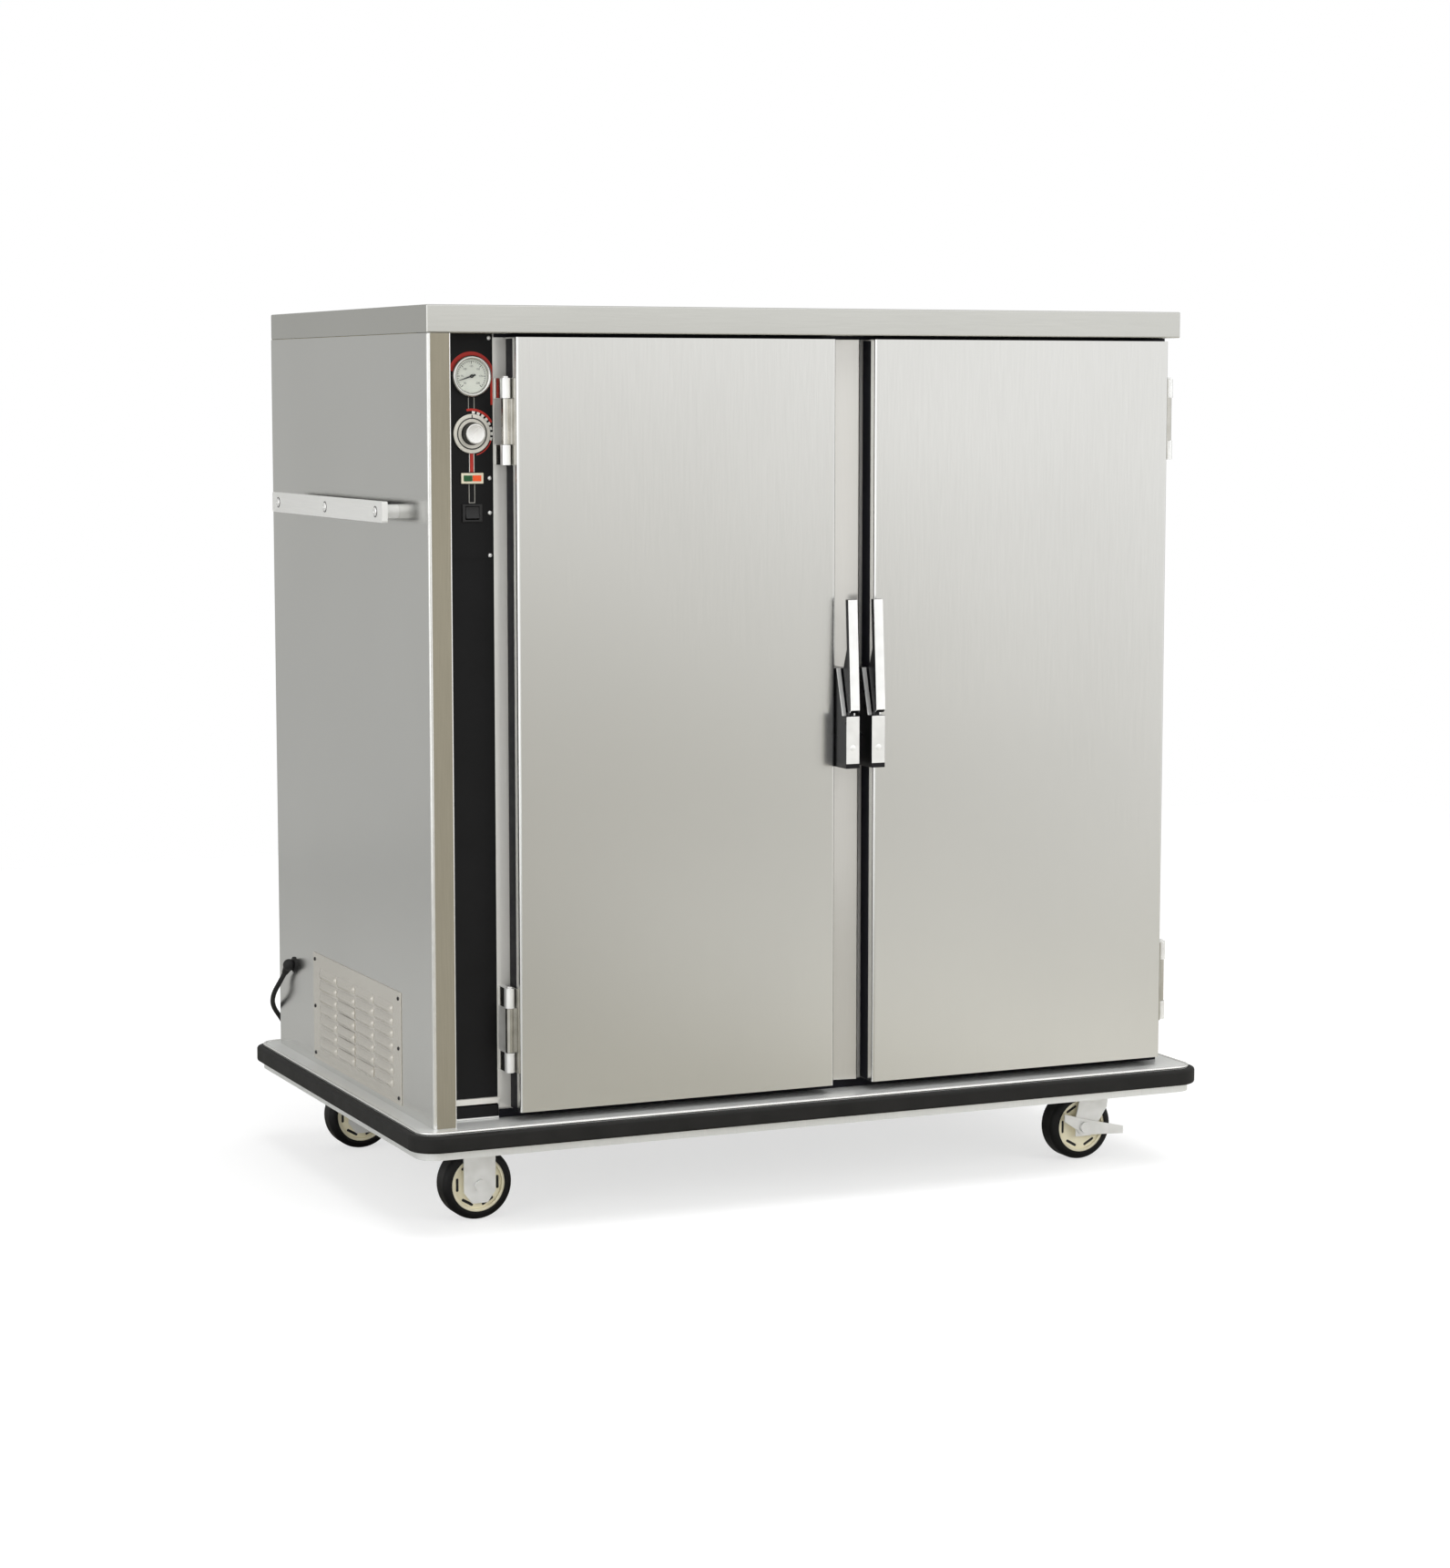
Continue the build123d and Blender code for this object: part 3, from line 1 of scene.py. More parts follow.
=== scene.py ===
"""Looks of a two-door heated holding cabinet on casters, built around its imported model, in metres."""

import json
import math

import bmesh
import bpy
from bpy.props import FloatProperty, FloatVectorProperty, IntProperty, PointerProperty, StringProperty
from mathutils import Matrix, Vector

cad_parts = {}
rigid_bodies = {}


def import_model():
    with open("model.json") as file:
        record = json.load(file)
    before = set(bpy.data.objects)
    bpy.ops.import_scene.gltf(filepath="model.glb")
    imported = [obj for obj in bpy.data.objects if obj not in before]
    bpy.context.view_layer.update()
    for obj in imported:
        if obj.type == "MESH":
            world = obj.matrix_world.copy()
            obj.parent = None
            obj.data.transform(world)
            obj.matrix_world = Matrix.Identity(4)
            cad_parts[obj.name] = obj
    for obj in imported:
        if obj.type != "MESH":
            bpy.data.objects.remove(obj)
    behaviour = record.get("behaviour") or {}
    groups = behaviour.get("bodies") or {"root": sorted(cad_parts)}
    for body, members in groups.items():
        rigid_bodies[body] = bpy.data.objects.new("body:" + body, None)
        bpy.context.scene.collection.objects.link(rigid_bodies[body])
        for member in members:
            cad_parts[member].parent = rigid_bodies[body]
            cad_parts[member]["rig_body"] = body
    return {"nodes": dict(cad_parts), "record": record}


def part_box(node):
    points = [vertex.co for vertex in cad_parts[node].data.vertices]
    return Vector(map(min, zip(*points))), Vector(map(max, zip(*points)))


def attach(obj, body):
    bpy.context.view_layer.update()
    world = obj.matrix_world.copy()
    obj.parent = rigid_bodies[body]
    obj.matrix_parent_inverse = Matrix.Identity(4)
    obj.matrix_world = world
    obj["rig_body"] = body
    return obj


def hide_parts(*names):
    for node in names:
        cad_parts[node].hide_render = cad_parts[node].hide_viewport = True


bl_info = {
    "name": "Heated holding cabinet",
    "version": (1, 0, 0),
    "blender": (4, 5, 0),
    "location": "3D View > Sidebar > Cabinet",
    "description": "Dresses the packed model of a two-door heated holding cabinet",
    "category": "Object",
}

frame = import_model()
NODES = frame["nodes"]
SLOTS = {part["node"]: part["material_slot"] for part in frame["record"]["subparts"]}
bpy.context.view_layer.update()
MM = 0.001
SIDES = ("left", "right")
CASTER_ROWS = ("front", "rear")
TO_FRONT = (0, -1, 0)

# Heights, depths and widths that the trim keeps to, in millimetres
DECK_TOP = 188.0
CAP_FOOT = 1531.0
FRAME_FACE = -389.8
DOOR_SPANS = {"left": (-567.0, 29.0), "right": (105.0, 701.0)}
COLUMN_SPAN = (-684.0, -588.0)

# How a noise is stretched: not at all, or into streaks along one axis
EVEN = (1.0, 1.0, 1.0)
ALONG_X = (0.02, 1.0, 1.0)
ALONG_Y = (1.0, 0.02, 1.0)
ALONG_Z = (1.0, 1.0, 0.02)

# Settings that several shader nodes share
LIMITS = ("From Min", "From Max", "To Min", "To Max")
MIX_COLOURS = {"kind": "ShaderNodeMix", "data_type": "RGBA"}
GREATER = {"kind": "ShaderNodeMath", "operation": "MAXIMUM"}
MULTIPLY_ADD = {"kind": "ShaderNodeMath", "operation": "MULTIPLY_ADD"}
WHITE = (1.0, 1.0, 1.0, 1.0)


def linear(hex_colour):
    """An sRGB hex value as a linear RGBA colour."""
    channels = [int(hex_colour[n : n + 2], 16) / 255 for n in (1, 3, 5)]
    return tuple(c / 12.92 if c <= 0.04045 else ((c + 0.055) / 1.055) ** 2.4 for c in channels) + (1.0,)


def add_node(tree, kind, inputs=(), **settings):
    """A node with its settings, and its inputs as values or as sockets to link from."""
    node = tree.nodes.new(kind)
    for name, value in settings.items():
        setattr(node, name, value)
    for key, value in dict(inputs).items():
        if isinstance(value, bpy.types.NodeSocket):
            tree.links.new(value, node.inputs[key])
        else:
            node.inputs[key].default_value = value
    return node


def surface(name, colours, roughness, fine, broad, bump, swing=0.05, blend=1.0, **sockets):
    """A material of two noises on Object coordinates, each as (spacing in millimetres, stretch, detail).

    The fine one gives the bump, as (strength, millimetres). Blended with the broad one, it carries the
    colour from dark to light, and the roughness.
    """
    material = bpy.data.materials.new(name)
    material.use_nodes = True
    material.diffuse_color = linear(colours[1])
    tree = material.node_tree
    shader = tree.nodes["Principled BSDF"]
    for key, value in sockets.items():
        shader.inputs[key.replace("_", " ")].default_value = value
    place = add_node(tree, "ShaderNodeTexCoord").outputs["Object"]
    fields = []
    for spacing, stretch, detail in (fine, broad):
        drawn = add_node(tree, "ShaderNodeMapping", {"Vector": place, "Scale": stretch})
        inputs = {"Vector": drawn.outputs["Vector"], "Scale": 1 / (spacing * MM), "Detail": detail}
        noise = add_node(tree, "ShaderNodeTexNoise", {**inputs, "Roughness": 0.6})
        fields.append(noise.outputs["Fac"])
    inputs = {"Factor": blend, "A": fields[0], "B": fields[1]}
    mixed = add_node(tree, "ShaderNodeMix", inputs).outputs["Result"]
    # Most of a noise lies between these two values
    spread = (0.3, 0.7)
    ramp = add_node(tree, "ShaderNodeValToRGB", {"Fac": mixed})
    for stop, position, colour in zip(ramp.color_ramp.elements, spread, colours):
        stop.position = position
        stop.color = linear(colour)
    tree.links.new(ramp.outputs["Color"], shader.inputs["Base Color"])
    limits = dict(zip(LIMITS, (*spread, roughness - swing, roughness + swing)))
    dull = add_node(tree, "ShaderNodeMapRange", {"Value": mixed, **limits})
    tree.links.new(dull.outputs["Result"], shader.inputs["Roughness"])
    strength, distance = bump
    inputs = {"Height": fields[0], "Strength": strength, "Distance": distance * MM}
    raised = add_node(tree, "ShaderNodeBump", inputs)
    tree.links.new(raised.outputs["Normal"], shader.inputs["Normal"])
    return material


def brushed_stainless(name, dark, light, roughness, grain=ALONG_Z, metallic=1.0):
    """Stainless sheet with a belt-polished grain: long fine streaks that soften what it mirrors.

    The real grain is about 0.1 mm wide; it is drawn 1.2 mm wide so that it shows.
    """
    streaks, clouds = (1.2, grain, 3.0), (420, EVEN, 1.0)
    relief = (0.004, 0.02)
    return surface(name, (dark, light), roughness, streaks, clouds, relief, -0.015, 0.45, Metallic=metallic)


def polished_chrome(name, dark, light, roughness, metallic=1.0):
    """Plated or buffed metal: bright and mirror-like, with the faint ripple that buffing leaves."""
    ripple, drift = (9, EVEN, 1.0), (25, EVEN, 1.0)
    swing = roughness * 0.12
    return surface(name, (dark, light), roughness, ripple, drift, (0.01, 0.02), swing, Metallic=metallic)


def moulded_rubber(name, dark, light, roughness, grit=0.8):
    """Black rubber out of a mould or die: dull, with a fine pebble and paler scuffs along it."""
    pebble, scuffs = (grit, EVEN, 2.0), (60, EVEN, 4.0)
    relief = (0.25, 0.15)
    return surface(name, (dark, light), roughness, pebble, scuffs, relief, 0.08, Specular_IOR_Level=0.25)


def moulded_plastic(name, dark, light, roughness, grit=0.5, **sockets):
    """Injection-moulded plastic: an even colour with the slight orange peel of the tool's face."""
    peel, flow = (grit, EVEN, 2.0), (22, EVEN, 2.0)
    return surface(name, (dark, light), roughness, peel, flow, (0.08, 0.1), **sockets)


def baked_enamel(name, dark, light, roughness, shine=0.5):
    """Sprayed and baked paint on sheet: an even film with a soft ripple and a satin shine."""
    ripple, film = (2.5, EVEN, 2.0), (130, EVEN, 2.0)
    return surface(name, (dark, light), roughness, ripple, film, (0.06, 0.1), Specular_IOR_Level=shine)


def mineral_wool(name):
    """Pressed mineral wool: matted fibres, dull and straw-coloured."""
    fibres, tufts = (3, (1.0, 0.25, 1.0), 5.0), (30, EVEN, 3.0)
    return surface(name, ("#9E9068", "#D8CCA0"), 0.92, fibres, tufts, (0.6, 1.5), 0.04, 0.3)


def clear_glass(name):
    """Pressed watch glass: clear, thin and smooth, seen mostly by its glints."""
    waves, smears = (40, EVEN, 0.0), (14, EVEN, 2.0)
    optics = {"Transmission_Weight": 1.0, "IOR": 1.08}
    return surface(name, ("#F1F5F4", "#F6F9F8"), 0.045, waves, smears, (0.01, 0.02), 0.02, **optics)


def made(name):
    """A material that an earlier operator made."""
    return bpy.data.materials[name]


def give(node, material):
    """Gives a node of the model one of the scene's materials."""
    mesh = NODES[node].data
    mesh.materials.clear()
    mesh.materials.append(material)


def span(node):
    """The low and the high corner of a node's box, in millimetres."""
    return [Vector(corner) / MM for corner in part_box(node)]


def spin_profile(shape, profile, centre, axis, steps):
    """Turns a profile of (radius, height along the axis) pairs, in millimetres, round the axis."""
    axis = Vector(axis).normalized()
    out = axis.orthogonal().normalized()
    centre = Vector(centre) * MM
    corners = [shape.verts.new(centre + (out * r + axis * h) * MM) for r, h in profile]
    edges = [shape.edges.new(pair) for pair in zip(corners, corners[1:])]
    bmesh.ops.spin(
        shape,
        geom=corners + edges,
        cent=centre,
        axis=axis,
        angle=2 * math.pi,
        steps=steps,
        use_merge=True,
    )
    return shape


def round_edges(shape, edges, rounding, segments):
    """Rounds off edges by a radius in millimetres."""
    bmesh.ops.bevel(
        shape,
        geom=edges,
        offset=rounding * MM,
        affect="EDGES",
        segments=segments,
        profile=0.5,
        material=-1,
        clamp_overlap=True,
    )


def add_block(shape, low, high, rounding=0.0, segments=2):
    """A block between two corners, in millimetres, with its edges rounded."""
    low, high = Vector(low) * MM, Vector(high) * MM
    place = Matrix.Translation((low + high) / 2) @ Matrix.Diagonal((*(high - low), 1.0))
    corners = bmesh.ops.create_cube(shape, size=1.0, matrix=place)["verts"]
    if rounding:
        edges = list({edge for corner in corners for edge in corner.link_edges})
        round_edges(shape, edges, rounding, segments)
    return shape


def add_prism(shape, outline, shift, rounding=0.0):
    """A flat outline of points drawn out along a shift, in millimetres, with its edges rounded."""
    corners = [shape.verts.new(Vector(point) * MM) for point in outline]
    face = shape.faces.new(corners)
    grown = bmesh.ops.extrude_face_region(shape, geom=[face])["geom"]
    moved = [item for item in grown if isinstance(item, bmesh.types.BMVert)]
    bmesh.ops.translate(shape, verts=moved, vec=Vector(shift) * MM)
    if rounding:
        edges = list({edge for corner in corners + moved for edge in corner.link_edges})
        round_edges(shape, edges, rounding, 2)
    return shape


def add_strip(shape, x, half, zs, y, thickness=0.08):
    """An upright strip of ink on a plane facing the front: its middle, half width and two heights."""
    low, high = zs
    outline = [(x - half, y, low), (x + half, y, low), (x + half, y, high), (x - half, y, high)]
    add_prism(shape, outline, (0, -thickness, 0))


def add_arc(shape, centre, radii, turns, y, steps=40, thickness=0.08):
    """A ring-shaped film of ink between two radii and two turns from straight up, clockwise."""
    inner, outer = radii
    first, last = (math.radians(turn) for turn in turns)
    middle = Vector((centre[0], y, centre[1])) * MM
    start = Vector((math.sin(first), 0, math.cos(first)))
    corners = []
    for radius, lift in ((inner, 0), (outer, 0), (outer, thickness), (inner, thickness)):
        corners.append(shape.verts.new(middle + start * radius * MM + Vector((0, -lift, 0)) * MM))
    face = shape.faces.new(corners)
    bmesh.ops.spin(
        shape,
        geom=[face],
        cent=middle,
        axis=(0, 1, 0),
        angle=last - first,
        steps=steps,
        use_merge=False,
    )


def rounded_loop(half_u, half_v, corner, steps=10):
    """Points round a rounded rectangle and their ways out, as (u, v, way_u, way_v), in millimetres."""
    loop = []
    for quarter, (side_u, side_v) in enumerate(((1, 1), (-1, 1), (-1, -1), (1, -1))):
        for n in range(steps + 1):
            turn = math.pi / 2 * (quarter + n / steps)
            way_u, way_v = math.cos(turn), math.sin(turn)
            u = side_u * (half_u - corner) + corner * way_u
            v = side_v * (half_v - corner) + corner * way_v
            loop.append((u, v, way_u, way_v))
    return loop


def sweep_loop(shape, loop, profile, place):
    """Carries a closed profile of (out, along) pairs round a loop that place(u, v, along) sets down."""
    rings = []
    for u, v, way_u, way_v in loop:
        ring = [place(u + way_u * out, v + way_v * out, along) * MM for out, along in profile]
        corners = [shape.verts.new(point) for point in ring]
        rings.append([shape.edges.new(pair) for pair in zip(corners, corners[1:] + corners[:1])])
    for ring, following in zip(rings, rings[1:] + rings[:1]):
        bmesh.ops.bridge_loops(shape, edges=ring + following)
    return shape


def new_object(name, data):
    """An object in the scene."""
    item = bpy.data.objects.new(name, data)
    bpy.context.scene.collection.objects.link(item)
    return item


def new_piece(name, shape, material, body="cabinet", hides=None, sharp=35.0):
    """An object from a bmesh: closed, facing outwards, smooth but for its sharp edges, on a body."""
    bmesh.ops.remove_doubles(shape, verts=shape.verts, dist=0.002 * MM)
    bmesh.ops.recalc_face_normals(shape, faces=shape.faces)
    mesh = bpy.data.meshes.new(name)
    shape.to_mesh(mesh)
    shape.free()
    mesh.polygons.foreach_set("use_smooth", [True] * len(mesh.polygons))
    mesh.set_sharp_from_angle(angle=math.radians(sharp))
    mesh.materials.append(material)
    piece = new_object(name, mesh)
    # Keeps the shading of flat faces flat beside their rounded edges
    piece.modifiers.new("face_normals", "WEIGHTED_NORMAL").keep_sharp = True
    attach(piece, body)
    if hides:
        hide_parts(hides)
    return piece


def node_shape(node):
    """A bmesh of a node, with the vertices that its faces share merged."""
    shape = bmesh.new()
    shape.from_mesh(NODES[node].data)
    bmesh.ops.remove_doubles(shape, verts=shape.verts, dist=0.01 * MM)
    return shape


def soften_node(name, node, material, rounding, segments=2):
    """A copy of a node with its sharp edges rounded off, in millimetres, which stands for it."""
    shape = node_shape(node)
    flat, sharp = math.radians(0.4), math.radians(30)
    bmesh.ops.dissolve_limit(shape, angle_limit=flat, verts=shape.verts, edges=shape.edges)
    if rounding:
        closed = [edge for edge in shape.edges if len(edge.link_faces) == 2]
        edges = [edge for edge in closed if edge.calc_face_angle(0.0) > sharp]
        round_edges(shape, edges, rounding, segments)
    return new_piece(name, shape, material, NODES[node]["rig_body"], node)


def islands(node):
    """The boxes of a node's separate solids, in millimetres, as (low, high) corners."""
    shape = node_shape(node)
    boxes = []
    left = set(shape.verts)
    while left:
        found = [left.pop()]
        for corner in found:
            for edge in corner.link_edges:
                other = edge.other_vert(corner)
                if other in left:
                    left.remove(other)
                    found.append(other)
        low = [min(corner.co[axis] for corner in found) / MM for axis in range(3)]
        high = [max(corner.co[axis] for corner in found) / MM for axis in range(3)]
        boxes.append((Vector(low), Vector(high)))
    shape.free()
    return boxes


def number(name, description, default, **more):
    """A number among the settings."""
    return FloatProperty(name=name, description=description, default=default, **more)


class StageSettings(bpy.types.PropertyGroup):
    """Floor, light and camera."""

    floor_half: number("Floor half size", "From the middle to the floor's edge", 4.5, unit="LENGTH")
    floor_tone: number("Floor tone", "How pale the floor is under the lamps", 0.44, subtype="FACTOR")
    lens: number("Lens", "Focal length on a 36 mm frame, in millimetres", 81.06)
    camera_place: FloatVectorProperty(
        name="Camera place",
        description="Where the camera stands",
        default=(-2.6788, -6.0249, 1.4329),
        subtype="TRANSLATION",
        unit="LENGTH",
    )
    camera_tilt: number("Camera tilt", "From straight down to the view", math.radians(83.67), subtype="ANGLE")
    camera_yaw: number("Camera yaw", "Turn about the upright", math.radians(-24.08), subtype="ANGLE")


class CordSettings(bpy.types.PropertyGroup):
    """The mains lead."""

    diameter: number("Cord diameter", "Outside of the rubber jacket", 9.2 * MM, unit="LENGTH")
    length: number("Cord length", "From the strain relief to the plug", 2.19, unit="LENGTH")


class PrintSettings(bpy.types.PropertyGroup):
    """Inks on the instrument plate and colours of the pilot lights."""

    red: StringProperty(name="Red ink", description="Arcs and link line", default="#C02A1C")
    pale: StringProperty(name="Pale ink", description="Scale marks", default="#F4F2EC")
    grey: StringProperty(name="Grey ink", description="Thin link lines", default="#9A9890")
    green: StringProperty(name="Left light", description="Lens of the left light", default="#14562A")
    orange: StringProperty(name="Right light", description="Lens of the right light", default="#E8551E")


class LouvreSettings(bpy.types.PropertyGroup):
    """The pressed louvres of the service panel, in millimetres."""

    columns: IntProperty(name="Columns", description="Louvres side by side", default=4, min=1)
    rows: IntProperty(name="Rows", description="Louvres one above another", default=7, min=1)
    pitch_y: number("Column pitch", "Between columns", 106.0)
    pitch_z: number("Row pitch", "Between rows", 22.0)
    length: number("Louvre length", "Along the panel", 96.0)
    height: number("Louvre height", "Lip to top", 18.0)
    depth: number("Louvre depth", "How far it swells", 5.9)
    sheet: number("Panel sheet", "Thickness of the panel", 2.0)


class LatchSettings(bpy.types.PropertyGroup):
    """The two edge latches, in millimetres."""

    housing: number("Housing", "Height of the housing's face", 92.0)
    foot: number("Foot", "Height of the black foot", 8.0)
    lean: number("Lean", "How far the lever leans back", 12.0)


class InstrumentSettings(bpy.types.PropertyGroup):
    """Where the instruments sit, in millimetres on the object's own axes."""

    middle: number("Instrument line", "Across, from the cabinet's middle", -627.0)
    plate: number("Plate face", "Front face of the instrument plate", -385.6)
    thermometer: number("Thermometer height", "Its centre above the floor", 1460.0)
    knob: number("Knob height", "Its centre above the floor", 1363.5)
    lights: number("Light height", "Their centre above the floor", 1288.5)
    switch: number("Switch height", "Its centre above the floor", 1230.0)


def lay_floor(settings):
    """A painted floor that shows the camera hardly more than a shadow.

    What the steel mirrors of it is warm, darker far ahead, grey on the left of the cabinet and
    brighter on the right; the light that it throws back up is that of a white floor.
    """
    shape = bmesh.new()
    bmesh.ops.create_grid(shape, x_segments=1, y_segments=1, size=settings.floor_half)
    mesh = bpy.data.meshes.new("floor")
    shape.to_mesh(mesh)
    shape.free()
    paint = bpy.data.materials.new("matt_floor_paint")
    paint.use_nodes = True
    tree = paint.node_tree
    shader = tree.nodes["Principled BSDF"]
    shader.inputs["Roughness"].default_value = 0.9
    rays = add_node(tree, "ShaderNodeLightPath").outputs
    place = add_node(tree, "ShaderNodeTexCoord").outputs["Object"]
    axes = add_node(tree, "ShaderNodeSeparateXYZ", {"Vector": place}).outputs
    ranged = {}
    for name, axis, *limits in (
        ("left", "X", -0.75, -1.05, 0.0, 1.0),
        ("right", "X", 0.25, 1.0, 0.0, 0.27),
        ("far", "Y", -1.5, -3.4, 0.0, 1.0),
    ):
        inputs = {"Value": axes[axis], **dict(zip(LIMITS, limits))}
        ranged[name] = add_node(tree, "ShaderNodeMapRange", inputs).outputs["Result"]
    mirrored = (0.335, 0.32, 0.272, 1.0)
    far, grey = (0.235, 0.225, 0.19, 1.0), (0.47, 0.47, 0.455, 1.0)
    for share, other in ((ranged["far"], far), (ranged["left"], grey)):
        mirrored = add_node(tree, inputs={0: share, 6: mirrored, 7: other}, **MIX_COLOURS).outputs[2]
    pale, tone = (0.8, 0.8, 0.8, 1.0), (*(settings.floor_tone,) * 3, 1.0)
    plain = add_node(tree, inputs={0: rays["Is Camera Ray"], 6: pale, 7: tone}, **MIX_COLOURS).outputs[2]
    painted = add_node(tree, inputs={0: rays["Is Glossy Ray"], 6: plain, 7: mirrored}, **MIX_COLOURS)
    tree.links.new(painted.outputs[2], shader.inputs["Base Color"])
    inputs = {0: rays["Is Glossy Ray"], 1: ranged["right"]}
    glow = add_node(tree, "ShaderNodeMath", inputs, operation="MULTIPLY").outputs["Value"]
    inputs = {0: rays["Is Camera Ray"], 1: rays["Is Transmission Ray"]}
    seen = add_node(tree, inputs=inputs, **GREATER).outputs["Value"]
    # Lifts the paint to white for the camera, so that only the shadow shows
    to_white = 0.63
    lift = add_node(tree, inputs={0: seen, 1: to_white, 2: glow}, **MULTIPLY_ADD)
    shader.inputs["Emission Color"].default_value = WHITE
    tree.links.new(lift.outputs["Value"], shader.inputs["Emission Strength"])
    mesh.materials.append(paint)
    new_object("floor", mesh)


def light_room(scene):
    """A white room to the camera, and a studio to what the metal mirrors.

    The studio is bright above and falls through the horizon to a warm floor, lower on the right
    and straight ahead, with a light strip at the left front and a dim left rear.
    """
    scene.world = bpy.data.worlds.new("studio")
    scene.world.use_nodes = True
    tree = scene.world.node_tree
    backdrop = tree.nodes["Background"]
    way = add_node(tree, "ShaderNodeTexCoord").outputs["Generated"]
    axes = add_node(tree, "ShaderNodeSeparateXYZ", {"Vector": way}).outputs
    ranged = {}
    for name, axis, *limits in (
        ("tilt", "X", 0.30, 0.58, -0.048, 0.092),
        ("window", "X", 0.26, 0.12, 0.0, 0.2),
        ("strip", "X", -0.45, -0.8, 1.21, 2.0),
        ("ahead", "Y", 0.45, -0.25, 0.0, 1.0),
    ):
        inputs = {"Value": axes[axis], **dict(zip(LIMITS, limits))}
        ranged[name] = add_node(tree, "ShaderNodeMapRange", inputs).outputs["Result"]
    shift = add_node(tree, "ShaderNodeMath", {0: ranged["tilt"], 1: ranged["window"]}).outputs["Value"]
    height = add_node(tree, "ShaderNodeMath", {0: axes["Z"], 1: shift}).outputs["Value"]
    slope, horizon = 2.5, 0.5
    share = add_node(tree, inputs={0: height, 1: slope, 2: horizon}, **MULTIPLY_ADD).outputs["Value"]
    rise = add_node(tree, "ShaderNodeValToRGB", {"Fac": share})
    tones = ((0.265, (0.35, 0.335, 0.29)), (0.45, (0.82, 0.815, 0.80)), (0.575, (0.88, 0.88, 0.875)))
    stops = rise.color_ramp.elements
    stops.new(tones[1][0])
    for stop, (position, tone) in zip(stops, tones):
        stop.position = position
        stop.color = (*tone, 1.0)
    inputs = {0: rise.outputs["Color"], "Scale": ranged["strip"]}
    ahead = add_node(tree, "ShaderNodeVectorMath", inputs, operation="SCALE").outputs["Vector"]
    dim = (0.48, 0.48, 0.465, 1.0)
    room = add_node(tree, inputs={0: ranged["ahead"], 6: dim, 7: ahead}, **MIX_COLOURS).outputs[2]
    rays = add_node(tree, "ShaderNodeLightPath").outputs
    colour = add_node(tree, inputs={0: rays["Is Glossy Ray"], 6: WHITE, 7: room}, **MIX_COLOURS)
    full = rays["Is Camera Ray"]
    for kind in ("Is Transmission Ray", "Is Glossy Ray"):
        full = add_node(tree, inputs={0: full, 1: rays[kind]}, **GREATER).outputs["Value"]
    fill, shown = 0.62, 1.0
    strength = add_node(tree, "ShaderNodeMix", {"Factor": full, "A": fill, "B": shown})
    tree.links.new(colour.outputs[2], backdrop.inputs["Color"])
    tree.links.new(strength.outputs["Result"], backdrop.inputs["Strength"])


class CABINET_OT_stage(bpy.types.Operator):
    """Makes the floor, the studio light and the camera"""

    bl_idname = "cabinet.stage"
    bl_label = "Stage"

    def execute(self, context):
        scene = context.scene
        settings = scene.cabinet_stage
        scene.view_settings.view_transform = "Standard"
        lay_floor(settings)
        light_room(scene)
        lamps = (
            ("overhead_softbox", (0.4, -1.2, 5.2), (0.0, 0.0, 0.8), 5.0, 210.0),
            ("front_softbox", (4.2, -6.4, 3.4), (0.0, 0.0, 0.9), 3.6, 130.0),
            ("left_softbox", (-5.4, -3.2, 2.4), (-0.7, 0.0, 0.9), 3.0, 90.0),
        )
        for name, place, aim, size, power in lamps:
            lamp = bpy.data.lights.new(name, "AREA")
            lamp.shape = "DISK"
            lamp.size = size
            lamp.energy = power
            holder = new_object(name, lamp)
            holder.location = place
            holder.rotation_euler = (Vector(aim) - Vector(place)).to_track_quat("-Z", "Y").to_euler()
            holder.visible_glossy = False
        camera = bpy.data.cameras.new("camera")
        camera.lens = settings.lens
        camera.sensor_width = 36.0
        camera.sensor_fit = "AUTO"
        camera.clip_end = 100.0
        scene.camera = new_object("camera", camera)
        scene.camera.location = settings.camera_place
        scene.camera.rotation_euler = (settings.camera_tilt, 0.0, settings.camera_yaw)
        return {"FINISHED"}


def coil_points(centre, low, raised, way_out):
    """Points of the coil: half turns winding in on the floor, then out again on top of them."""
    outer, inner, step = 66.0, 37.0, 5.8
    half_turns = [(outer - step * n, outer - step * (n + 1), low, low) for n in range(5)]
    half_turns.append((inner, inner, low, raised))
    half_turns += [(inner + step * n, inner + step * (n + 1), raised, raised) for n in range(3)]
    half_turns.append((inner + step * 3, way_out, raised, raised))
    points_per_half = 8
    # Control points stand a little outside the turn, because the curve runs inside them
    swell = 1 / math.cos(math.pi / points_per_half / 2) ** 0.5
    points = []
    side = -1
    for start, end, start_z, end_z in half_turns:
        middle = centre + Vector((0, side * (start - end) / 2, 0))
        radius = (start + end) / 2 * swell
        for n in range(points_per_half):
            share = (n + 0.5) / points_per_half
            x = -side * radius * math.sin(math.pi * share)
            y = side * radius * math.cos(math.pi * share)
            points.append(middle + Vector((x, y, start_z + (end_z - start_z) * share)))
        side = -side
    return points


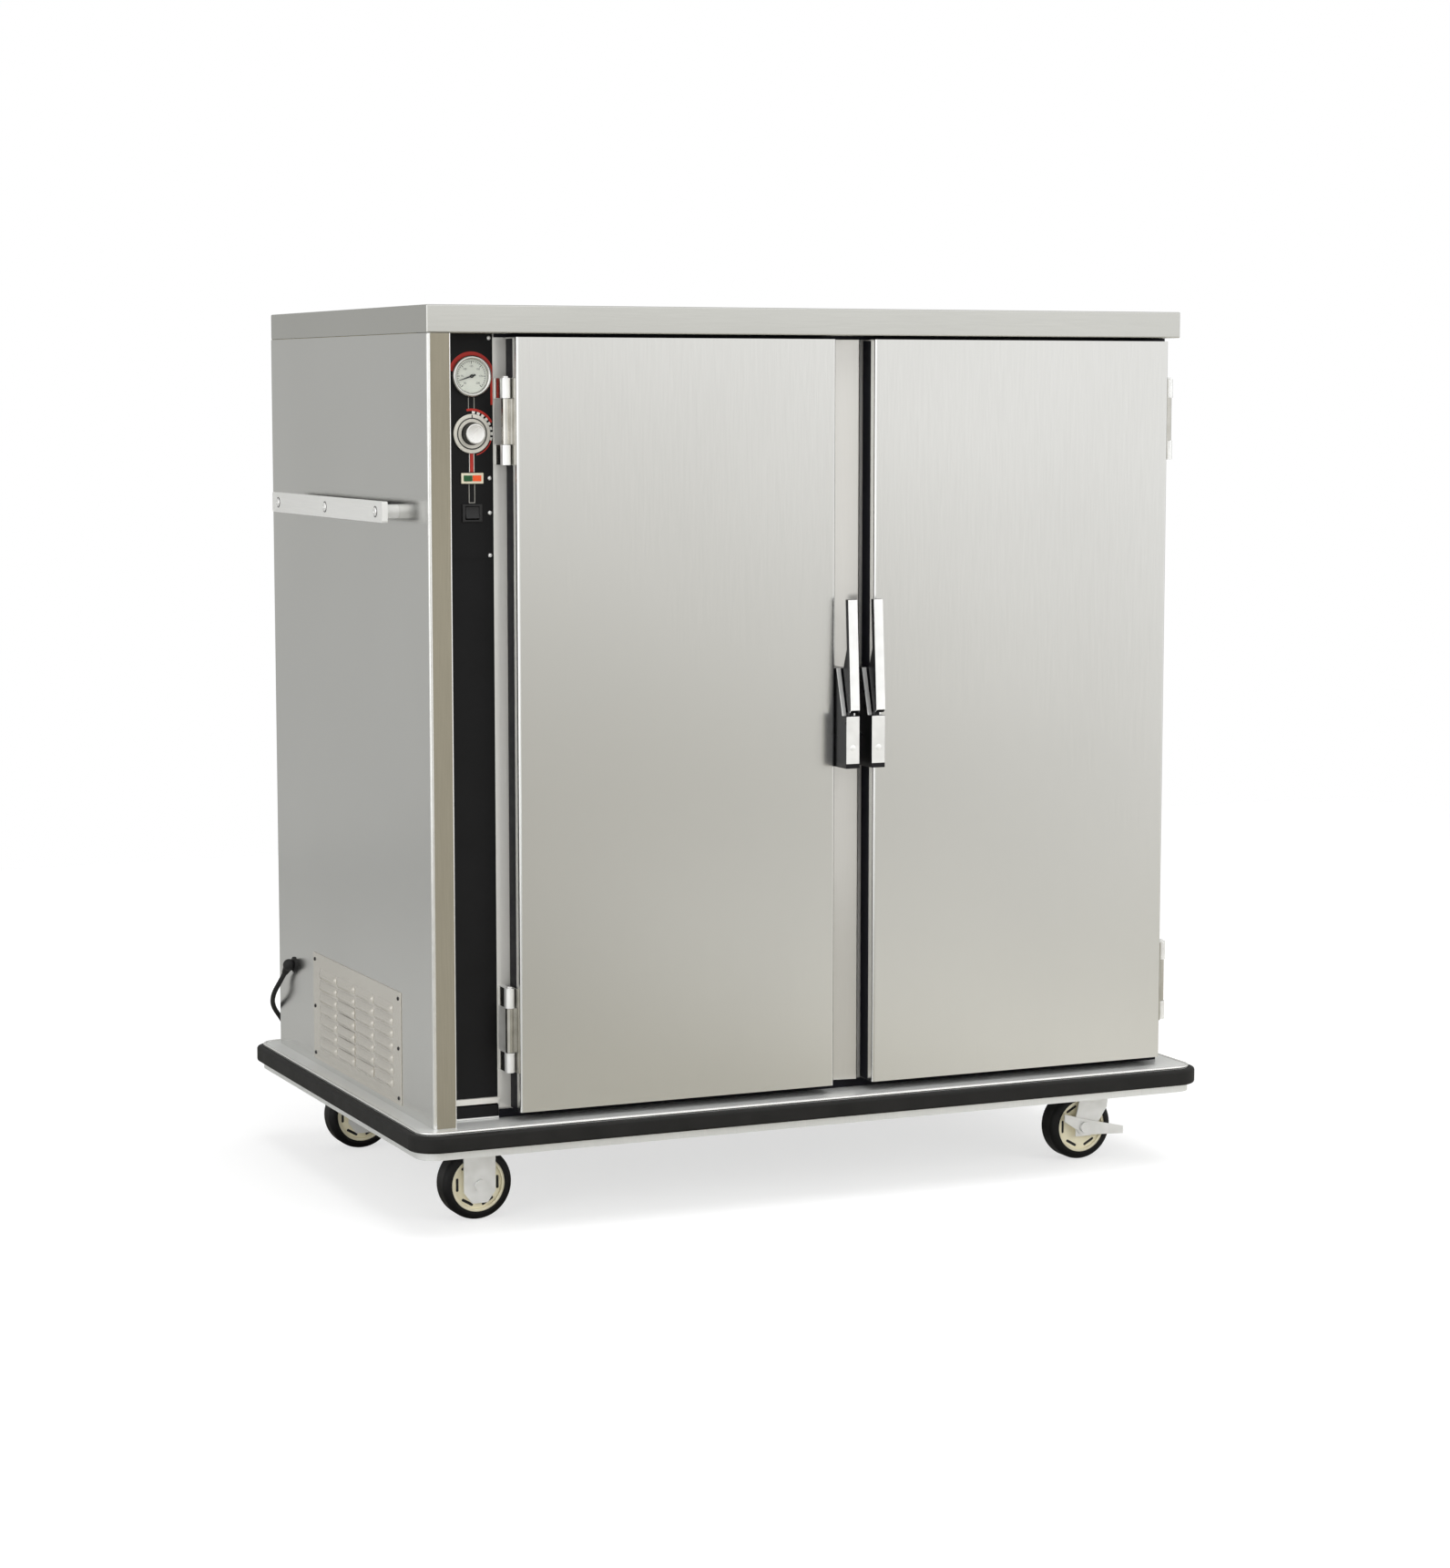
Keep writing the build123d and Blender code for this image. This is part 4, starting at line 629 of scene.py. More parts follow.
def make_strain_relief(gland, lead, reach, jacket):
    """The strain relief: a collar on the panel, a ball and a ribbed sleeve."""
    collar = [(0, 0), (15, 0), (15, 2.2), (13.6, 3.2), (0, 3.2)]
    shape = spin_profile(bmesh.new(), collar, (-725, gland.y, gland.z), (-1, 0, 0), 48)
    turns = [math.pi * n / 12 for n in range(13)]
    radius = 11.4
    ball = [(radius * math.sin(turn), -radius * math.cos(turn)) for turn in turns]
    spin_profile(shape, ball, gland, lead, 40)
    sleeve = [(0, 0), (8.8, 0)]
    for n in range(8):
        rib, crest, groove = 10.0 + 3.0 * n, 8.6 - 0.36 * n, 7.4 - 0.3 * n
        sleeve += [(crest, rib), (crest - 0.3, rib + 1.9), (groove, rib + 2.1), (groove - 0.1, rib + 2.9)]
    sleeve += [(5.4, reach), (0, reach)]
    spin_profile(shape, sleeve, gland, lead, 40)
    return new_piece("cord_strain_relief", shape, jacket, hides="cord_gland", sharp=40)


def make_plug(start, jacket):
    """The plug, with a ribbed grip, and apart from it its two blades and round pin."""
    grip = [(0, 0), (7.0, 0), (7.8, 0.8), (7.8, 8.5), (9.6, 11.5), (13.4, 14.5), (14.5, 17)]
    for n in range(5):
        rib = 20 + 4.0 * n
        grip += [(14.5, rib), (13.4, rib + 0.6), (13.4, rib + 2.4), (14.5, rib + 3)]
    grip += [(14.5, 49.5), (13.6, 51.4), (12.6, 52), (0, 52)]
    shape = spin_profile(bmesh.new(), grip, start, (1, 0, 0), 48)
    plug = new_piece("moulded_plug", shape, jacket, hides="power_plug", sharp=40)
    nickel = polished_chrome("nickel_plated_brass", "#B9B4A4", "#CFCABA", 0.2)
    shape = bmesh.new()
    for shift in (-6.35, 6.35):
        blade = start + Vector((0, shift, 0))
        add_block(shape, blade + Vector((51.8, -0.75, -3.15)), blade + Vector((69.9, 0.75, 3.15)), 0.5)
    pin = [(0, 0), (2.4, 0), (2.4, 15), (1.6, 17.2), (0, 18)]
    spin_profile(shape, pin, start + Vector((52, 0, -8)), (1, 0, 0), 24)
    return plug, new_piece("plug_blades", shape, nickel)


def make_tie(coil, jacket):
    """The strap that holds the coil, round the right-hand side of its turns."""
    strap = [(0.2, -5), (1.1, -5), (1.1, 5), (0.2, 5)]
    hold = coil + Vector((51.5, 0, 10.1))
    loop = rounded_loop(21.0, 9.0, 4.0, 8)
    shape = sweep_loop(bmesh.new(), loop, strap, lambda u, v, along: hold + Vector((u, along, v)))
    return new_piece("coil_tie", shape, jacket)


class CABINET_OT_cord(bpy.types.Operator):
    """Lays the mains lead, with its strain relief, coil, tie and plug"""

    bl_idname = "cabinet.cord"
    bl_label = "Mains lead"

    def execute(self, context):
        settings = context.scene.cabinet_cord
        jacket = moulded_rubber("extruded_rubber_jacket", "#141414", "#232323", 0.5, 0.6)
        gland = Vector((-736.0, 346.0, 355.0))
        droop = math.radians(35)
        lead = Vector((0.0, math.cos(droop), -math.sin(droop)))
        sleeve_end = 34
        # Heights of the cord's middle on the floor, and of the coil's upper layer on the lower one
        low, raised = 4.6, 14.6
        coil = Vector((-390.0, 573.0, 0.0))
        plug_start = Vector((-380.8, 487.0, raised))
        # Control points from the sleeve down to the floor, and along it to the coil
        drop = [(-745, 424, 287), (-734, 465, 257), (-706, 494, 224), (-680, 511, 181), (-656, 515, 130)]
        drop += [(-630, 514, 80), (-595, 512, 38), (-547, 510, 11.5)]
        drop += [(-494, 509.5, low), (-446.2, 507, low), (-399.2, 507, low)]
        route = [gland + lead * sleeve_end, gland + lead * 64]
        route += [Vector(point) for point in drop]
        route += coil_points(coil, low, raised, coil.y - plug_start.y)
        route += [Vector((coil.x, plug_start.y, raised)), plug_start]
        line = bpy.data.curves.new("mains_lead", "CURVE")
        line.dimensions = "3D"
        line.resolution_u = 6
        line.bevel_depth = settings.diameter / 2
        line.bevel_resolution = 4
        line.use_fill_caps = True
        spline = line.splines.new("NURBS")
        spline.points.add(len(route) - 1)
        for point, place in zip(spline.points, route):
            point.co = (*(place * MM), 1.0)
        spline.order_u = 3
        spline.use_endpoint_u = True
        line.materials.append(jacket)
        cord = new_object("mains_lead", line)
        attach(cord, "cabinet")
        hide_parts("power_cord", "cord_coil")
        relief = make_strain_relief(gland, lead, sleeve_end, jacket)
        plug, blades = make_plug(plug_start, jacket)
        tie = make_tie(coil, jacket)
        return {"FINISHED"}


class CABINET_OT_sheet_metal(bpy.types.Operator):
    """Finishes the panels, the frame, the liner and the rest of the model's own solids"""

    bl_idname = "cabinet.sheet_metal"
    bl_label = "Sheet metal"

    def execute(self, context):
        chrome = polished_chrome("chromed_castings", "#EAEAE8", "#F6F6F4", 0.2, 0.55)
        black = moulded_plastic("black_moulded_plastic", "#0F0F10", "#171718", 0.42)
        finishes = {
            "stainless_satin": brushed_stainless("belt_polished_stainless", "#DFDFDD", "#E6E6E4", 0.22),
            "liner_steel": brushed_stainless("mill_finish_stainless", "#B9B8B2", "#CBCAC4", 0.36),
            "handle_alloy": brushed_stainless("satin_aluminium", "#EAEAE7", "#F5F5F2", 0.34, ALONG_Y, 0.4),
            "caster_zinc": polished_chrome("zinc_plated_steel", "#E9E9E6", "#F5F5F3", 0.34, 0.3),
            "bumper_rubber": moulded_rubber("extruded_bumper_rubber", "#151514", "#201F1E", 0.6),
            "gasket_rubber": moulded_rubber("gasket_rubber", "#1F1F1F", "#2B2B2B", 0.6),
            "tyre_black": moulded_rubber("tyre_rubber", "#0B0B0C", "#141415", 0.5),
            "hub_cream": moulded_plastic("hub_polymer", "#F0E8C8", "#F9F2D6", 0.45),
            "light_cream": moulded_plastic("cream_plastic", "#D8CFB4", "#E6DFC8", 0.35),
            "panel_black": baked_enamel("black_baked_enamel", "#0E0E0F", "#151516", 0.5, 0.2),
            "motor_grey": baked_enamel("grey_motor_enamel", "#5A5C5F", "#6B6D70", 0.5),
            "dial_face": baked_enamel("white_dial_enamel", "#E2DFD6", "#ECE9E1", 0.6),
            "insulation_wool": mineral_wool("pressed_mineral_wool"),
            "lens_glass": clear_glass("watch_glass"),
            **dict.fromkeys(("screw_steel", "instrument_chrome", "knob_silver", "hardware_chrome"), chrome),
            **dict.fromkeys(("needle_black", "switch_black"), black),
        }
        for node, slot in SLOTS.items():
            if slot in finishes:
                give(node, finishes[slot])
        bright = brushed_stainless("bright_polished_stainless", "#ECEAE4", "#F4F3EE", 0.26, metallic=0.3)
        give("front_frame", bright)
        rolled = brushed_stainless("rolled_deck_stainless", "#DDDEDC", "#E8E9E7", 0.3, metallic=0.5)
        give("base_deck", rolled)
        return {"FINISHED"}


class CABINET_OT_trim(bpy.types.Operator):
    """Adds the corner post, the cap, the deck's bright lip and the dark strips of painted shade round the
    doors
    """

    bl_idname = "cabinet.trim"
    bl_label = "Post, cap and edges"

    def execute(self, context):
        bright = polished_chrome("bright_rolled_edge", "#F0F0EE", "#F8F8F6", 0.14, 0.85)
        # The corner post is the panels' steel, coloured darker and warmer as painted shade
        post = brushed_stainless("post_stainless_painted_shade", "#868070", "#928C7B", 0.46, metallic=0.3)
        cap = brushed_stainless("cross_grained_stainless", "#CFCFCB", "#D6D6D2", 0.26, ALONG_X)
        cover = brushed_stainless("mirror_polished_stainless", "#DAD8D3", "#E0DED9", 0.16, metallic=0.55)
        # A dull dark film for the strips of painted shade round the doors
        gap_shade_finish = {"grit": 0.4, "Specular_IOR_Level": 0.12}
        gap_shade = moulded_plastic("door_gap_painted_shade", "#0C0C12", "#17171E", 0.5, **gap_shade_finish)

        shape = add_block(bmesh.new(), (-719.0, -442.4, DECK_TOP), (-685.4, -438.0, CAP_FOOT), 0.6)
        new_piece("front_corner_post", shape, post)
        shape = add_block(bmesh.new(), (-725.5, -442.6, DECK_TOP), (-718.8, -437.0, CAP_FOOT), 2.6, 5)
        add_block(shape, (-685.6, -442.5, DECK_TOP), (-683.8, -439.0, CAP_FOOT), 0.8, 3)
        new_piece("corner_beads", shape, bright)
        shape = add_block(bmesh.new(), (-725.0, -442.0, 1531.3), (725.0, 442.0, 1578.0), 2.4, 4)
        new_piece("cap_shell", shape, cap, hides="top_cap")

        radius, inset, height = 2.9, 1.6, 186.9
        turns = [math.pi * n / 6 for n in range(12)]
        lip = [(radius * math.cos(turn) - inset, radius * math.sin(turn) + height) for turn in turns]
        loop = rounded_loop(758.0, 475.0, 35.0)
        shape = sweep_loop(bmesh.new(), loop, lip, lambda u, v, along: Vector((u, v, along)))
        new_piece("deck_lip", shape, bright)

        # Dark strips of painted shade: on the edges of the doors, and in the gaps above and below them on the
        # frame
        skin, back = -424.0, -393.5
        for side, (low, high) in DOOR_SPANS.items():
            shape = bmesh.new()
            for x in (low - 0.35, high - 0.15):
                add_block(shape, (x, skin, 206.0), (x + 0.5, back, 1523.0), 0.1, 1)
            for z in (203.65, 1524.85):
                add_block(shape, (low + 2.0, skin, z), (high - 2.0, back, z + 0.5), 0.1, 1)
            new_piece(f"{side}_door_edge_painted_shade", shape, gap_shade, f"{side}_door")
        start, end = COLUMN_SPAN
        for name, low, high in (("cap_gap_painted_shadow", 1525.0, CAP_FOOT), ("sill_gap_painted_shadow", 188.4, 203.0)):
            shape = add_block(bmesh.new(), (end, FRAME_FACE - 1.6, low), (723.0, FRAME_FACE, high), 0.2, 1)
            new_piece(name, shape, gap_shade)

        # Rolled cover of the mullion, above and below the strikes
        fold = [(35.5, -389.9), (35.5, -390.4), (92.0, -399.0), (94.0, -399.0)]
        fold += [(100.5, -390.4), (100.5, -389.9)]
        shape = bmesh.new()
        for low, high in ((203.2, 797.0), (929.0, 1524.8)):
            add_prism(shape, [(x, y, low) for x, y in fold], (0, 0, high - low))
        new_piece("mullion_cover", shape, cover, sharp=20)

        # Foot of the control column: a black plate, painted shade in the recess under the sill, over a bright
        # strip
        shape = add_block(bmesh.new(), (start, -388.6, 190.6), (end, -384.0, 211.0), 0.4)
        new_piece("column_recess_painted_shade", shape, made("black_baked_enamel"))
        shape = add_block(bmesh.new(), (start, -391.0, 188.2), (end, -385.0, 191.2), 0.6)
        new_piece("column_foot_strip", shape, bright)

        # Domed rivets round the back panel
        dome = [(0, 1.6), (2.2, 1.4), (4.0, 0.8), (4.8, 0), (0, 0)]
        spots = [(x, z) for x in (-705, 705) for z in range(230, 1500, 180)]
        spots += [(x, z) for z in (206, 1514) for x in range(-600, 601, 200)]
        shape = bmesh.new()
        for x, z in spots:
            spin_profile(shape, dome, (x, 442.0, z), (0, 1, 0), 16)
        new_piece("back_panel_rivets", shape, bright)
        return {"FINISHED"}


def press_louvre(shape, at, face, y, z):
    """One louvre: closed and smooth at its top and ends, open along its lower lip."""
    sheet = bmesh.ops.create_grid(shape, x_segments=24, y_segments=8, size=0.5)["verts"]
    for corner in sheet:
        across = 2 * corner.co.x
        up = corner.co.y + 0.5
        # Fullest a little above the lip, and level along the louvre up to its rounded ends
        crown = max(0.0, math.sin(math.pi * min(1.0, 0.2 + up * 0.8)))
        level = max(0.0, 1 - abs(across) ** 6) ** 0.7
        swell = at.depth * level * crown
        place = Vector((face - 0.1 - swell, y + across * at.length / 2, z + up * at.height))
        corner.co = place * MM
    faces = list({side for corner in sheet for side in corner.link_faces})
    bmesh.ops.recalc_face_normals(shape, faces=faces)
    bmesh.ops.solidify(shape, geom=faces, thickness=0.8 * MM)


class CABINET_OT_louvres(bpy.types.Operator):
    """Presses the soft louvres of the service panel"""

    bl_idname = "cabinet.louvres"
    bl_label = "Louvred panel"

    def execute(self, context):
        at = context.scene.cabinet_louvres
        steel = brushed_stainless("pressed_bright_stainless", "#D9D5CC", "#E5E1D9", 0.2, metallic=0.8)
        low, high = span("louvre_panel")
        face = high.x - at.sheet
        shape = add_block(bmesh.new(), (face, low.y, low.z), high, 0.8)
        slots = bmesh.new()
        for column in range(at.columns):
            y = (low.y + high.y) / 2 + at.pitch_y * (column - (at.columns - 1) / 2)
            for row in range(at.rows):
                z = (low.z + high.z) / 2 + at.pitch_z * (row - (at.rows - 1) / 2) - at.height / 2
                press_louvre(shape, at, face, y, z)
                # A black strip under each lip, painted shade in its opening
                add_block(slots, (face - 0.3, y - 40.0, z + 0.8), (face + 0.2, y + 40.0, z + 8.0))
        new_piece("louvred_panel", shape, steel, hides="louvre_panel", sharp=50)
        new_piece("louvre_opening_painted_shade", slots, made("black_moulded_plastic"))
        return {"FINISHED"}


def make_latch(side, at, chrome, dark):
    """One edge latch: dark casting and lever, with chromed faces, a black foot and a rivet."""
    door, slot = f"{side}_door", "hardware_chrome"
    low, high = span(f"{side}_latch_body")
    lever_low, lever_high = span(f"{side}_latch_lever")
    front = low.y
    middle = (low.x + high.x) / 2
    shoulder = low.z + at.housing
    soften_node(f"{side}_latch_casting", f"{side}_latch_body", dark, 0.8, 3)
    soften_node(f"{side}_lever_casting", f"{side}_latch_lever", dark, 0.9, 3)

    left, right = low.x + 0.2, high.x - 0.2
    top = (right, front + 1.6, shoulder - 0.3)
    shape = add_block(bmesh.new(), (left, front - 0.25, low.z + at.foot), top, 0.8, 3)
    slope = [(16.6, shoulder), (40.6, high.z), (42.0, high.z), (18.0, shoulder)]
    for start, end in ((left, middle - 4.7), (middle + 4.7, right)):
        add_prism(shape, [(start, front + y, z) for y, z in slope], (end - start, 0, 0), 0.5)
    new_piece(f"{side}_latch_face", shape, chrome, door)

    top = (high.x + 0.2, front + 40.0, low.z + at.foot + 0.5)
    shape = add_block(bmesh.new(), (low.x - 0.2, front + 2.0, low.z), top, 0.8)
    new_piece(f"{side}_latch_foot", shape, made("black_moulded_plastic"), door)

    # The lever's chromed face follows its lean, with its lower edge turned in
    foot, top = shoulder + 5.2, lever_high.z - 0.3
    face = [(5.0, foot), (-0.25, foot + 5.2), (at.lean - 0.25, top), (at.lean + 1.2, top)]
    face += [(1.2, foot + 5.8), (5.6, foot + 1.4)]
    outline = [(lever_low.x - 0.2, front + y, z) for y, z in face]
    shape = add_prism(bmesh.new(), outline, (lever_high.x - lever_low.x + 0.4, 0, 0), 0.5)
    new_piece(f"{side}_lever_face", shape, chrome, f"{side}_lever")

    dome = [(0, 0.7), (2.5, 0.62), (4.6, 0.4), (5.6, 0.05), (5.6, -0.6), (0, -0.6)]
    shape = spin_profile(bmesh.new(), dome, (middle, front - 0.2, low.z + 36.0), TO_FRONT, 32)
    new_piece(f"{side}_latch_rivet", shape, chrome, door)


class CABINET_OT_hardware(bpy.types.Operator):
    """Rounds the castings: hinges, latches, push bars, forks, brake levers and wheels"""

    bl_idname = "cabinet.hardware"
    bl_label = "Hinges, latches and handles"

    def execute(self, context):
        chrome = made("chromed_castings")
        buffed = polished_chrome("buffed_hinge_steel", "#C4C2BB", "#D2D0CA", 0.16)
        # The latch castings are dark all over beneath their chromed faces
        dark = polished_chrome("dark_latch_casting", "#141416", "#202023", 0.3, 0.6)
        leaves = soften_node("hinge_leaves_on_frame", "hinge_frame_leaves", chrome, 0.7).data
        leaves.materials.append(buffed)
        for face in leaves.polygons:
            # The flat sides of the lugs are buffed to a mirror
            face.material_index = int(abs(face.normal.x) > 0.95 and face.area > 200 * MM * MM)
        soften_node("hinge_pin_set", "hinge_pins", chrome, 0.5)
        for side in SIDES:
            soften_node(f"{side}_hinge_leaves_on_door", f"{side}_door_hinge_leaves", buffed, 0.7)
            make_latch(side, context.scene.cabinet_latches, chrome, dark)
        soften_node("push_bars", "push_handles", made("satin_aluminium"), 1.0, 3)
        # Black strips on the backs of the push bars, painted shade where they face the panel
        shape = bmesh.new()
        for low, high in ((-754.2, -753.7), (753.7, 754.2)):
            add_block(shape, (low, -313.0, 1216.0), (high, 313.0, 1246.0), 0.1, 1)
        new_piece("push_bar_back_painted_shade", shape, made("black_baked_enamel"))

        # Casters, with a black core in each hub, painted shade at the bottom of its slots
        zinc, hub, tyre = made("zinc_plated_steel"), made("hub_polymer"), made("tyre_rubber")
        black = made("black_moulded_plastic")
        core = [(16.0, -16.6), (41.0, -16.6), (41.0, 16.6), (16.0, 16.6), (16.0, -16.6)]
        soften_node("caster_brackets", "caster_mounts", zinc, 0.7)
        for row in CASTER_ROWS:
            soften_node(f"{row}_swivel_fork", f"{row}_right_fork", zinc, 0.7)
            soften_node(f"{row}_brake_bar", f"{row}_right_brake_lever", zinc, 0.7)
            for wheel in (f"{row}_{side}" for side in SIDES):
                soften_node(f"{wheel}_hub", f"{wheel}_wheel_hub", hub, 0.6)
                soften_node(f"{wheel}_rubber", f"{wheel}_tyre", tyre, 0.0)
                low, high = span(f"{wheel}_wheel_hub")
                shape = spin_profile(bmesh.new(), core, (low + high) / 2, (0, 1, 0), 48)
                new_piece(f"{wheel}_hub_slot_painted_shade", shape, black, f"{wheel}_wheel")
        return {"FINISHED"}


class CABINET_OT_screws(bpy.types.Operator):
    """Puts a domed head with a recess in place of each plain screw"""

    bl_idname = "cabinet.screws"
    bl_label = "Screws and bolts"

    def execute(self, context):
        chrome = made("chromed_castings")
        oxide = polished_chrome("black_oxide_steel", "#1C1C1E", "#29292B", 0.35, 0.6)
        handle_face = span("push_handles")[1].x
        # A head with a recess in its middle, as shares of its radius and height
        head = [(0.20, 0.35), (0.32, 0.95), (0.62, 0.9), (0.88, 0.6), (1.0, 0.2), (1.0, 0.0)]
        head += [(0.0, 0.0), (0.0, 0.35), (0.20, 0.35)]
        heads = {"plate": bmesh.new(), "panel": bmesh.new(), "handle": bmesh.new()}
        bolt_shadow_rings = bmesh.new()
        for low, high in islands("panel_screws"):
            size = high - low
            middle = (low + high) / 2
            axis = min(range(3), key=lambda n: size[n])
            radius = max(size) / 2
            height = size[axis]
            way = Vector((0, 0, 0))
            way[axis] = -1.0 if middle[axis] < 0 else 1.0
            seat = middle - way * height / 2
            group = "plate" if axis == 1 else "panel"
            if abs(seat.x) > handle_face - 1:
                group = "handle"
                # A dark ring round the head, painted shadow of its seat
                rim = radius + 1.6
                ring = [(radius, 0.0), (rim, 0.0), (rim, 0.5), (radius, 0.5), (radius, 0.0)]
                spin_profile(bolt_shadow_rings, ring, seat, way, 32)
            profile = [(radius * out, height * up) for out, up in head]
            spin_profile(heads[group], profile, seat, way, 20)
        new_piece("plate_screw_heads", heads["plate"], chrome, hides="panel_screws")
        new_piece("panel_screw_heads", heads["panel"], oxide)
        new_piece("handle_bolt_heads", heads["handle"], chrome)
        new_piece("handle_bolt_painted_shadow", bolt_shadow_rings, oxide)
        return {"FINISHED"}


def make_dial_number(label, place, ink):
    """One of the dial's numbers, raised a hair from the face."""
    letters = bpy.data.curves.new("number", "FONT")
    letters.body = label
    letters.size = 4.6 * MM
    letters.align_x = "CENTER"
    letters.align_y = "CENTER"
    letters.extrude = 0.04 * MM
    stand = bpy.data.objects.new("number", letters)
    mesh = bpy.data.meshes.new_from_object(stand)
    bpy.data.objects.remove(stand)
    mesh.transform(Matrix.Translation(place * MM) @ Matrix.Rotation(math.pi / 2, 4, "X"))
    mesh.materials.clear()
    mesh.materials.append(ink)
    piece = new_object(f"dial_number_{label}", mesh)
    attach(piece, "cabinet")


def make_thermometer(at, ink):
    """The dial thermometer: turned bezel, enamelled face with its scale and numbers, glass."""
    centre = (at.middle, at.plate, at.thermometer)
    chrome = polished_chrome("turned_bezel_chrome", "#DADAD7", "#EBEBE8", 0.22)
    bezel = [(0, -22), (24, -22), (25, -21), (25, 0), (35.5, 0), (35.5, 2.6), (34.9, 5.2), (33.5, 7.2)]
    bezel += [(31.9, 8), (30.3, 7.6), (28.9, 6.2), (28.0, 4.6), (28.0, 1), (0, 1)]
    shape = spin_profile(bmesh.new(), bezel, centre, TO_FRONT, 72)
    new_piece("thermometer_bezel", shape, chrome, hides="thermometer_case", sharp=50)
    face = [(0, 1.1), (27.8, 1.1), (27.8, 1.8), (0, 1.8)]
    shape = spin_profile(bmesh.new(), face, centre, TO_FRONT, 72)
    new_piece("thermometer_face", shape, made("white_dial_enamel"), hides="thermometer_dial")

    face_y = at.plate - 1.8
    middle = (at.middle, at.thermometer)
    # First mark in degrees from straight up, radius of the scale and of the ring of numbers
    first, rim, ring = -135, 25.2, 16.6
    shape = bmesh.new()
    for n in range(31):
        turn = first + 9 * n
        inner, half = (20.8, 1.3) if n % 5 == 0 else (22.8, 0.7)
        add_arc(shape, middle, (inner, rim), (turn - half, turn + half), face_y, 2)
    add_arc(shape, middle, (rim, rim + 0.5), (first - 1, 1 - first), face_y, 60)
    new_piece("thermometer_scale", shape, ink)
    for n, label in enumerate(("50", "75", "100", "125", "150", "175", "200")):
        turn = math.radians(first + 45 * n)
        x, z = at.middle + ring * math.sin(turn), at.thermometer + ring * math.cos(turn)
        make_dial_number(label, Vector((x, face_y, z)), ink)

    glass = [(0, 7), (9, 6.9), (18, 6.5), (27.9, 5.6), (27.9, 4.9), (18, 5.7), (9, 6.1), (0, 6.2)]
    shape = spin_profile(bmesh.new(), glass, centre, TO_FRONT, 72)
    new_piece("thermometer_glass", shape, made("watch_glass"), hides="thermometer_lens")


def make_knob(at, ink, black):
    """The thermostat knob: an enamelled skirt, a black grip as painted shade of a turned grip's side, a
    turned cap, and a pointer line with a ring of painted shade in the skirt's groove.
    """
    centre = (at.middle, at.plate, at.knob)
    enamel = baked_enamel("cream_skirt_enamel", "#DCD8CC", "#E8E4D9", 0.4)
    turned = polished_chrome("turned_knob_aluminium", "#E4E3E0", "#F0EFEC", 0.26, 0.7)
    skirt = [(0, 0.6), (32.4, 0.6), (33, 1.2), (33, 2.8), (32.2, 3.6), (27.2, 3.6), (26.8, 2.6)]
    skirt += [(24.8, 2.6), (24.4, 3.6), (0, 3.6)]
    # The grip is black: painted shade on the side of a turned grip
    grip = [(0, 3.5), (19.4, 3.5), (18.6, 4.6), (17.5, 6.4), (17.5, 19.2), (16.9, 20.2), (0, 20.2)]
    cap = [(0, 20), (16.7, 20), (17.1, 20.5), (16.5, 21.5), (15.4, 22), (14, 21.7), (13, 21.2), (0, 20.9)]
    for name, profile, material, slot, hides in (
        ("knob_skirt", skirt, enamel, "knob_silver", "thermostat_knob"),
        ("knob_grip_painted_shade", grip, black, "switch_black", None),
        ("knob_cap", cap, turned, "knob_silver", None),
    ):
        shape = spin_profile(bmesh.new(), profile, centre, TO_FRONT, 80)
        new_piece(name, shape, material, "knob", hides, 40)
    # A dark ring of painted shade in the skirt's groove, and the pointer line
    ring = [(24.9, 2.5), (26.7, 2.5), (26.7, 2.75), (24.9, 2.75), (24.9, 2.5)]
    shape = spin_profile(bmesh.new(), ring, centre, TO_FRONT, 80)
    low = (at.middle - 0.9, at.plate - 3.8, at.knob + 25.8)
    add_block(shape, low, (at.middle + 0.9, at.plate - 3.5, at.knob + 31.8), 0.1, 1)
    new_piece("knob_pointer_and_groove_shade", shape, ink, "knob")


def make_lights(at, inks):
    """The pair of pilot lights in their cream frame."""
    low = (at.middle - 20, at.plate - 3.5, at.lights - 9)
    shape = add_block(bmesh.new(), low, (at.middle + 20, at.plate, at.lights + 9), 1.0, 3)
    new_piece("pilot_light_frame", shape, made("cream_plastic"), hides="pilot_lights")
    lenses = (("green", "#0C3D1D", inks.green, -8.0), ("orange", "#DC4A16", inks.orange, 8.0))
    for name, dark, colour, shift in lenses:
        glow = {"Emission_Color": linear(colour), "Emission_Strength": 0.12}
        lens = moulded_plastic(f"{name}_light_polycarbonate", dark, colour, 0.25, 0.6, **glow)
        x = at.middle + shift
        low = (x - 7.8, at.plate - 4.4, at.lights - 5.0)
        shape = add_block(bmesh.new(), low, (x + 7.8, at.plate - 2.0, at.lights + 5.0), 0.7)
        new_piece(f"pilot_light_{name}", shape, lens)


class CABINET_OT_instruments(bpy.types.Operator):
    """Makes the thermometer, the thermostat knob, the pilot lights and the switch"""

    bl_idname = "cabinet.instruments"
    bl_label = "Instruments"

    def execute(self, context):
        at = context.scene.cabinet_instruments
        ink = baked_enamel("dial_ink", "#2A2A2A", "#333333", 0.7)
        black = made("black_moulded_plastic")
        make_thermometer(at, ink)
        make_knob(at, ink, black)
        make_lights(at, context.scene.cabinet_print)
        soften_node("switch_frame", "switch_housing", black, 0.8)
        soften_node("switch_paddle", "switch_rocker", black, 0.8)
        return {"FINISHED"}


